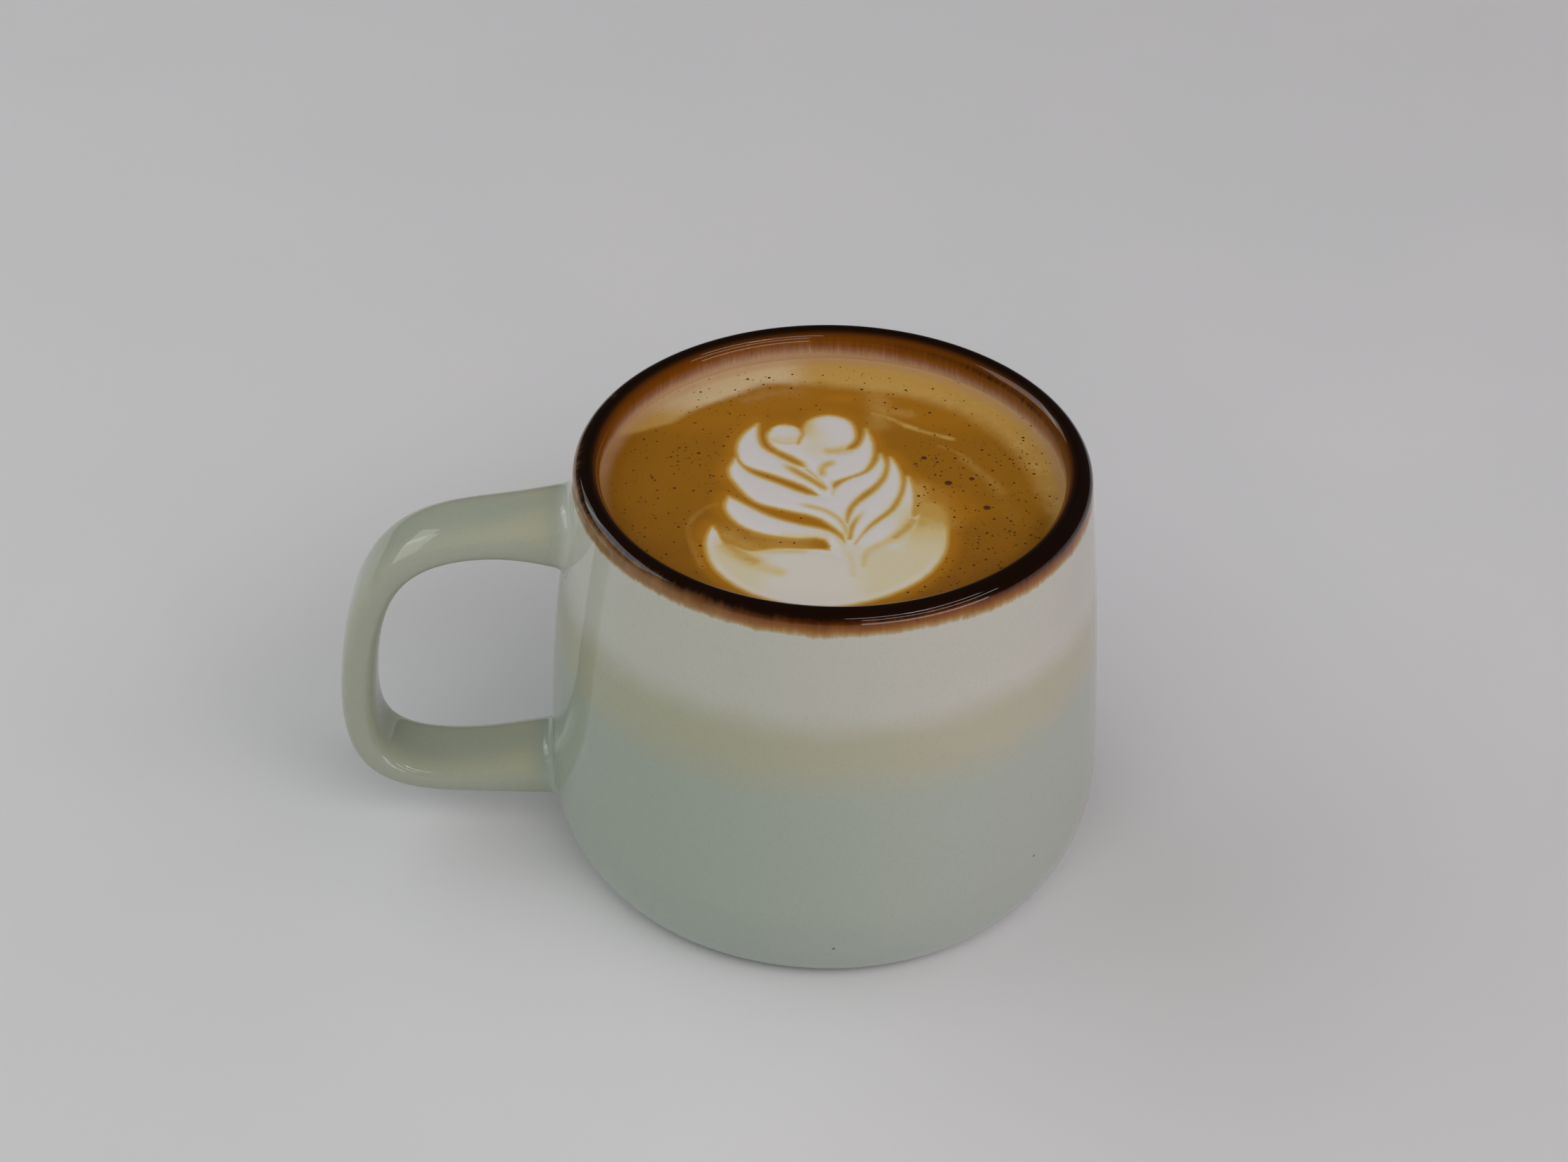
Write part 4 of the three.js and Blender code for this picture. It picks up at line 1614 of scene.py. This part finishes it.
    def coffee_piece(self, places: np.ndarray, triangles: np.ndarray, is_foam: np.ndarray,
                     heights: np.ndarray, marks: dict[str, np.ndarray],
                     mug: Mug) -> bpy.types.Object:
        """The coffee as a closed body with a pocket for the figure.

        Args:
            places: the surface's points.
            triangles: all triangles of the surface.
            is_foam: which of them are the figure's.
            heights: height of each point.
            marks: what the materials read at each point.
            mug: the mug, whose hollow the coffee fills.

        Returns:
            The piece.
        """
        count = len(places)
        open_top, pocket = triangles[~is_foam], triangles[is_foam]
        lower = np.column_stack([places, np.full(count, self.level - self.foam_depth)])
        points = [np.column_stack([places, heights]), lower]
        faces = open_top.tolist() + (pocket + count).tolist()
        for a, b in self.rim_edges(pocket):
            faces.append((a, b, b + count, a + count))
        ring = self.outer_ring(triangles, places)
        profile = mug.hollow_profile()[:-1]
        below = [spot for spot in profile if spot[1] < self.level - self.foam_depth]
        numbers = [ring, *stacked_rings(len(below), len(ring), 2 * count)]
        for before, now in zip(numbers, numbers[1:]):
            faces += ring_quads(before, now, along=False)
        faces.append(tuple(reversed(numbers[-1])))
        for radius, height in below:
            share = (radius + self.into_wall) / np.hypot(*places[ring[0]])
            points.append(np.column_stack([places[ring] * share, np.full(len(ring), height)]))
        stacked = (np.vstack(points) + (AXIS_X, 0, 0)) * MM
        used = np.unique(np.concatenate([np.asarray(face) for face in faces]))
        renumber = np.full(len(stacked), -1)
        renumber[used] = np.arange(len(used))
        faces = [renumber[list(face)] for face in faces]
        piece = mesh_object("coffee_with_crema", stacked[used], faces)
        tail = np.zeros(len(stacked) - 2 * count)
        for name, values in marks.items():
            store(piece, name, np.concatenate([values, values, tail])[used])
        self.sharpen(piece)
        dress(piece, self.finish.build("crema"))
        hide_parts("coffee")
        return piece

    def outer_ring(self, triangles: np.ndarray, places: np.ndarray) -> list[int]:
        """The numbers of the points round the drink's edge, in turning order."""
        edge = {a for a, _ in self.rim_edges(triangles)}
        return sorted(edge, key=lambda v: math.atan2(places[v][1], places[v][0]))

    @staticmethod
    def sharpen(piece: bpy.types.Object) -> None:
        """Keeps the turn from the surface to the walls sharp."""
        piece.data.set_sharp_from_angle(angle=math.radians(40))


@dataclass(frozen=True)
class BubbleFinish:
    """Dark brown bubble skin with a lighter rim."""

    skin: Colour = (0.09, 0.027, 0.003)
    rim: Colour = (0.22, 0.086, 0.009)
    rim_from: Span = (0.75, 1.0)
    rough: float = 0.6
    ior: float = 1.25

    def build(self) -> bpy.types.Material:
        """Makes the bubbles' skin.

        Returns:
            The material.
        """
        sheet = Sheet("bubble_skin")
        rim = sheet.step(sheet.value_of("rim"), *self.rim_from)
        colour = sheet.mix(self.skin, self.rim, rim)
        return sheet.surface(Base_Color=colour, Roughness=self.rough, IOR=self.ior)


@dataclass
class Bubbles:
    """Small bubbles in the crema: the larger ones where they show, and many tiny ones, in mm."""

    level: float = LEVEL
    # A dome's height as a share of its radius, and how far its foot lies below the surface
    height: float = 0.22
    sunk: float = 0.04
    sides: int = 14
    rings: int = 4
    # The tiny ones: their number, mean and spread of the logarithm of a radius, its limits, the
    # radius within which they lie, and their gaps from each other and from the figure
    tiny: int = 620
    size_law: Span = (-2.05, 0.42)
    size_limits: Span = (0.06, 0.28)
    spread: float = 36.0
    gap: float = 0.1
    off_figure: float = 0.6
    finish: BubbleFinish = field(default_factory=BubbleFinish)
    named: tuple[tuple[float, float, float], ...] = (
        (15.3, 8.2, 0.52), (18.9, 1.0, 0.68), (22.8, 2.2, 0.5), (24.7, -5.9, 0.65),
        (20.4, 8.1, 0.28), (17.3, 8.1, 0.24), (16.9, 3.4, 0.24), (19.5, 5.4, 0.2),
        (29.4, 7.9, 0.24), (21.8, 7.7, 0.2), (27.9, -12.3, 0.26), (30.1, -15.6, 0.22),
        (-21.7, 9.7, 0.32), (-17.6, 11.8, 0.26), (-19.8, 3.4, 0.22), (20.2, -11.2, 0.24),
        (-30.2, -13.6, 0.22), (9.6, 24.6, 0.22), (-10.8, 30.2, 0.2), (17.9, 28.8, 0.24),
    )

    def spots(self, drink: Drink) -> np.ndarray:
        """Places and radii of all bubbles, the tiny ones drawn by a seeded rule.

        Args:
            drink: the drink, whose figure is kept clear.

        Returns:
            Rows of x, y and radius.
        """
        chance = np.random.default_rng(SEED)
        outline, edges = drink.figure_edges()
        rows = list(self.named)
        while len(rows) < len(self.named) + self.tiny:
            angle = chance.uniform(0, 2 * math.pi)
            reach = self.spread * math.sqrt(chance.uniform())
            x, y = reach * math.cos(angle), reach * math.sin(angle)
            radius = float(np.clip(chance.lognormal(*self.size_law), *self.size_limits))
            clear = all(math.hypot(x - a, y - b) > r + radius + self.gap for a, b, r in rows)
            if chance.uniform() >= self.density(x, y) or not clear:
                continue
            off = drink.signed_distance(np.array([[x, y]]), outline, edges)[0]
            if off < -self.off_figure:
                rows.append((x, y, radius))
        return np.array(rows)

    @staticmethod
    def density(x: float, y: float) -> float:
        """Share of the drawn bubbles that stay: all at the right, some at the left, few elsewhere."""
        return 1.0 if x > 12 and y < 14 else 0.4 if x < -14 else 0.22

    def build(self, drink: Drink) -> bpy.types.Object:
        """Builds all bubbles as one mesh of low closed domes.

        Args:
            drink: the drink in whose surface they lie.

        Returns:
            The piece.
        """
        points, faces, rims = [], [], []
        angles = np.arange(self.sides) / self.sides * 2 * math.pi
        circle = np.stack([np.cos(angles), np.sin(angles)], -1)
        floor = self.level - drink.crown - self.sunk
        for x, y, radius in self.spots(drink):
            numbers = stacked_rings(self.rings, self.sides, len(points))
            for ring in range(self.rings):
                climb = ring / self.rings * math.pi / 2
                share = math.cos(climb)
                rise = self.height * radius * math.sin(climb) + self.sunk
                for px, py in circle * radius * share:
                    points.append((x + px, y + py, floor + rise * (ring > 0)))
                    rims.append(share)
            points.append((x, y, floor + self.height * radius + self.sunk))
            rims.append(0.0)
            for lower, upper in zip(numbers, numbers[1:]):
                faces += ring_quads(lower, upper)
            top, last = len(points) - 1, numbers[-1]
            for side in range(self.sides):
                faces.append((last[side], last[(side + 1) % self.sides], top))
            faces.append(tuple(reversed(numbers[0])))
        piece = mesh_object("crema_bubbles", (np.array(points) + (AXIS_X, 0, 0)) * MM, faces)
        store(piece, "rim", np.array(rims))
        dress(piece, self.finish.build())
        return piece


class Side(Enum):
    """Where a soft light stands, as compass angle from +X and height angle in degrees."""

    RIGHT_FRONT = (-48.0, 42.0)
    LOW_FRONT = (-54.0, 3.0)
    FRONT = (-90.0, 45.0)
    RIGHT = (0.0, 30.0)
    LEFT = (160.0, 34.0)
    BACK_LEFT = (134.0, 30.0)


class Use(Enum):
    """What a light does, as whether it shades dull surfaces and whether glossy ones reflect it."""

    SHADE = (True, False)
    GLOSS = (False, True)


@dataclass(frozen=True)
class SoftLight:
    """A large rectangular light that faces the mug: sizes in metres, and its radiance as a colour."""

    name: str
    side: Side
    use: Use
    distance: float
    width: float
    height: float
    radiance: Colour
    # Degrees added to the compass angle of its side
    turn: float = 0.0

    def build(self) -> None:
        """Adds the light to the scene."""
        lamp = bpy.data.lights.new(self.name, "AREA")
        lamp.shape = "RECTANGLE"
        lamp.size = self.width
        lamp.size_y = self.height
        brightest = max(self.radiance)
        lamp.energy = brightest * math.pi * self.width * self.height
        lamp.color = [part / brightest for part in self.radiance]
        holder = bpy.data.objects.new(self.name, lamp)
        holder.visible_diffuse, holder.visible_glossy = self.use.value
        compass, rise = (math.radians(angle) for angle in self.side.value)
        compass += math.radians(self.turn)
        aim = Vector((math.cos(rise) * math.cos(compass), math.cos(rise) * math.sin(compass),
                      math.sin(rise)))
        holder.location = Vector((AXIS_X * MM, 0, LEVEL * MM)) + aim * self.distance
        holder.rotation_euler = aim.to_track_quat("Z", "Y").to_euler()
        holder.visible_camera = False
        bpy.context.scene.collection.objects.link(holder)


def window_panes(name: str, use: Use, height: float, radiance: Colour) -> list[SoftLight]:
    """The two panes of the large window at the right front.

    Args:
        name: start of the lights' names.
        use: what the lights do.
        height: height of the panes in metres.
        radiance: their radiance.

    Returns:
        The right and the left pane.
    """
    return [SoftLight(f"{name}_{side}", Side.RIGHT_FRONT, use, 1.5, 0.74, height, radiance, turn)
            for side, turn in (("right", 15.5), ("left", -15.5))]


@dataclass(frozen=True)
class PaperFinish:
    """Pale paper with faint broad clouds."""

    plain: Colour = (0.74, 0.725, 0.745)
    cloud: Colour = (0.76, 0.735, 0.755)
    cloud_size: float = 60.0
    rough: float = 0.75
    ior: float = 1.4

    def build(self) -> bpy.types.Material:
        """Makes the paper.

        Returns:
            The material.
        """
        sheet = Sheet("paper")
        grain = sheet.noise(sheet.place(), self.cloud_size, 2.0)
        colour = sheet.mix(self.plain, self.cloud, sheet.step(grain, -0.5, 0.5))
        return sheet.surface(Base_Color=colour, Roughness=self.rough, IOR=self.ior)


@dataclass
class Studio:
    """The plain pale floor, the soft lights and the camera."""

    floor_size: float = 9.0
    paper: PaperFinish = field(default_factory=PaperFinish)
    sky: Colour = (0.035, 0.035, 0.0357)
    lights: tuple[SoftLight, ...] = (
        *window_panes("shade_pane", Use.SHADE, 0.4, (2.2, 2.1, 2.3)),
        *window_panes("gloss_pane", Use.GLOSS, 0.62, (4.8, 4.7, 4.6)),
        SoftLight("gloss_strip", Side.LOW_FRONT, Use.GLOSS, 1.2, 1.2, 0.24, (4.2, 4.0, 4.0)),
        SoftLight("gloss_left", Side.LEFT, Use.GLOSS, 1.4, 1.1, 0.6, (1.7, 1.8, 1.85)),
        SoftLight("gloss_back", Side.BACK_LEFT, Use.GLOSS, 1.4, 0.36, 0.36, (1.3, 1.35, 1.3)),
        SoftLight("left_outer", Side.LEFT, Use.SHADE, 1.5, 2.9, 1.9, (0.5, 0.53, 0.535)),
        SoftLight("left_inner", Side.LEFT, Use.SHADE, 1.45, 2.0, 1.2, (0.6, 0.635, 0.64)),
        SoftLight("shade_front", Side.FRONT, Use.SHADE, 2.0, 2.5, 1.5, (1.51, 1.57, 1.45)),
        SoftLight("shade_right", Side.RIGHT, Use.SHADE, 2.0, 2.5, 1.5, (0.74, 0.65, 0.64)),
    )

    def floor(self) -> None:
        """Lays the paper floor."""
        half = self.floor_size / 2
        points = np.array([(-half, -half, 0), (half, -half, 0), (half, half, 0), (-half, half, 0)])
        made = mesh_object("paper_floor", points, [(0, 1, 2, 3)])
        made.data.materials.append(self.paper.build())

    def world(self) -> None:
        """Sets a dim even surround."""
        world = bpy.data.worlds.new("surround")
        world.use_nodes = True
        shade = world.node_tree.nodes["Background"]
        shade.inputs["Color"].default_value = (*self.sky, 1.0)
        bpy.context.scene.world = world

    def build(self) -> None:
        """Builds floor, surround, lights and camera."""
        self.floor()
        self.world()
        for light in self.lights:
            light.build()
        PhotoCamera().build()
        bpy.context.scene.view_settings.view_transform = "Standard"


@dataclass(frozen=True)
class PhotoCamera:
    """The camera at the photograph's viewing angle, fitted to the mug's lip."""

    # The lens and the place in the photograph of the middle of the lip, in pixels
    focal_pixels: float = 4500.0
    aim_u: float = 1184.14
    aim_v: float = 652.76
    # Distance from the middle of the lip in mm, angles in radians, the mug's own turn in degrees
    distance: float = 510.48
    elevation: float = 0.60515
    roll: float = 0.02377
    mug_turn: float = 2.5
    # Sensor's width in mm, and how far the camera sees in metres
    sensor: float = 36.0
    sight: float = 50.0

    def backward(self) -> Vector:
        """Direction from the lip to the camera, before the mug's own turn."""
        return Vector((0, -math.cos(self.elevation), math.sin(self.elevation)))

    def rotation(self) -> Matrix:
        """How the camera is turned, before the mug's own turn.

        Returns:
            A matrix whose rows are the camera's right, down and forward directions.
        """
        forward = -self.backward()
        right = Vector((1, 0, 0))
        down = -right.cross(forward)
        aim = Vector((
            (self.aim_u - PHOTO_WIDTH / 2) / self.focal_pixels,
            (self.aim_v - PHOTO_HEIGHT / 2) / self.focal_pixels,
            1,
        ))
        pan = math.atan2(aim.x, aim.z)
        tilt = math.atan2(aim.y, math.hypot(aim.x, aim.z))
        panned = Matrix(((math.cos(pan), 0, math.sin(pan)), (0, 1, 0),
                         (-math.sin(pan), 0, math.cos(pan))))
        tilted = Matrix(((1, 0, 0), (0, math.cos(tilt), math.sin(tilt)),
                         (0, -math.sin(tilt), math.cos(tilt))))
        rolled = Matrix(((math.cos(self.roll), -math.sin(self.roll), 0),
                         (math.sin(self.roll), math.cos(self.roll), 0), (0, 0, 1)))
        return panned @ tilted @ rolled @ Matrix((right, down, forward))

    def build(self) -> None:
        """Adds the camera and makes it the scene's."""
        data = bpy.data.cameras.new("photo_camera")
        data.sensor_width = self.sensor
        data.lens = self.focal_pixels * self.sensor / PHOTO_WIDTH
        data.clip_end = self.sight
        holder = bpy.data.objects.new("photo_camera", data)
        rows = self.rotation()
        axes = Matrix((rows[0], -rows[1], -rows[2])).transposed()
        turn = Matrix.Rotation(-math.radians(self.mug_turn), 3, "Z")
        away = self.backward() * self.distance * MM
        spot = turn @ away + Vector((AXIS_X, 0, RIM_HEIGHT)) * MM
        holder.matrix_world = Matrix.Translation(spot) @ (turn @ axes).to_4x4()
        bpy.context.scene.collection.objects.link(holder)
        bpy.context.scene.camera = holder


def main() -> None:
    """Builds the studio, the mug, the drink and the bubbles."""
    logging.basicConfig(level=logging.INFO, format="%(name)s: %(message)s")
    Studio().build()
    mug = Mug()
    pieces = [mug.build()]
    drink = Drink()
    pieces += drink.build(mug)
    pieces.append(Bubbles().build(drink))
    for piece in pieces:
        log.info("%s: %d faces", piece.name, len(piece.data.polygons))


if __name__ == "__main__":
    main()
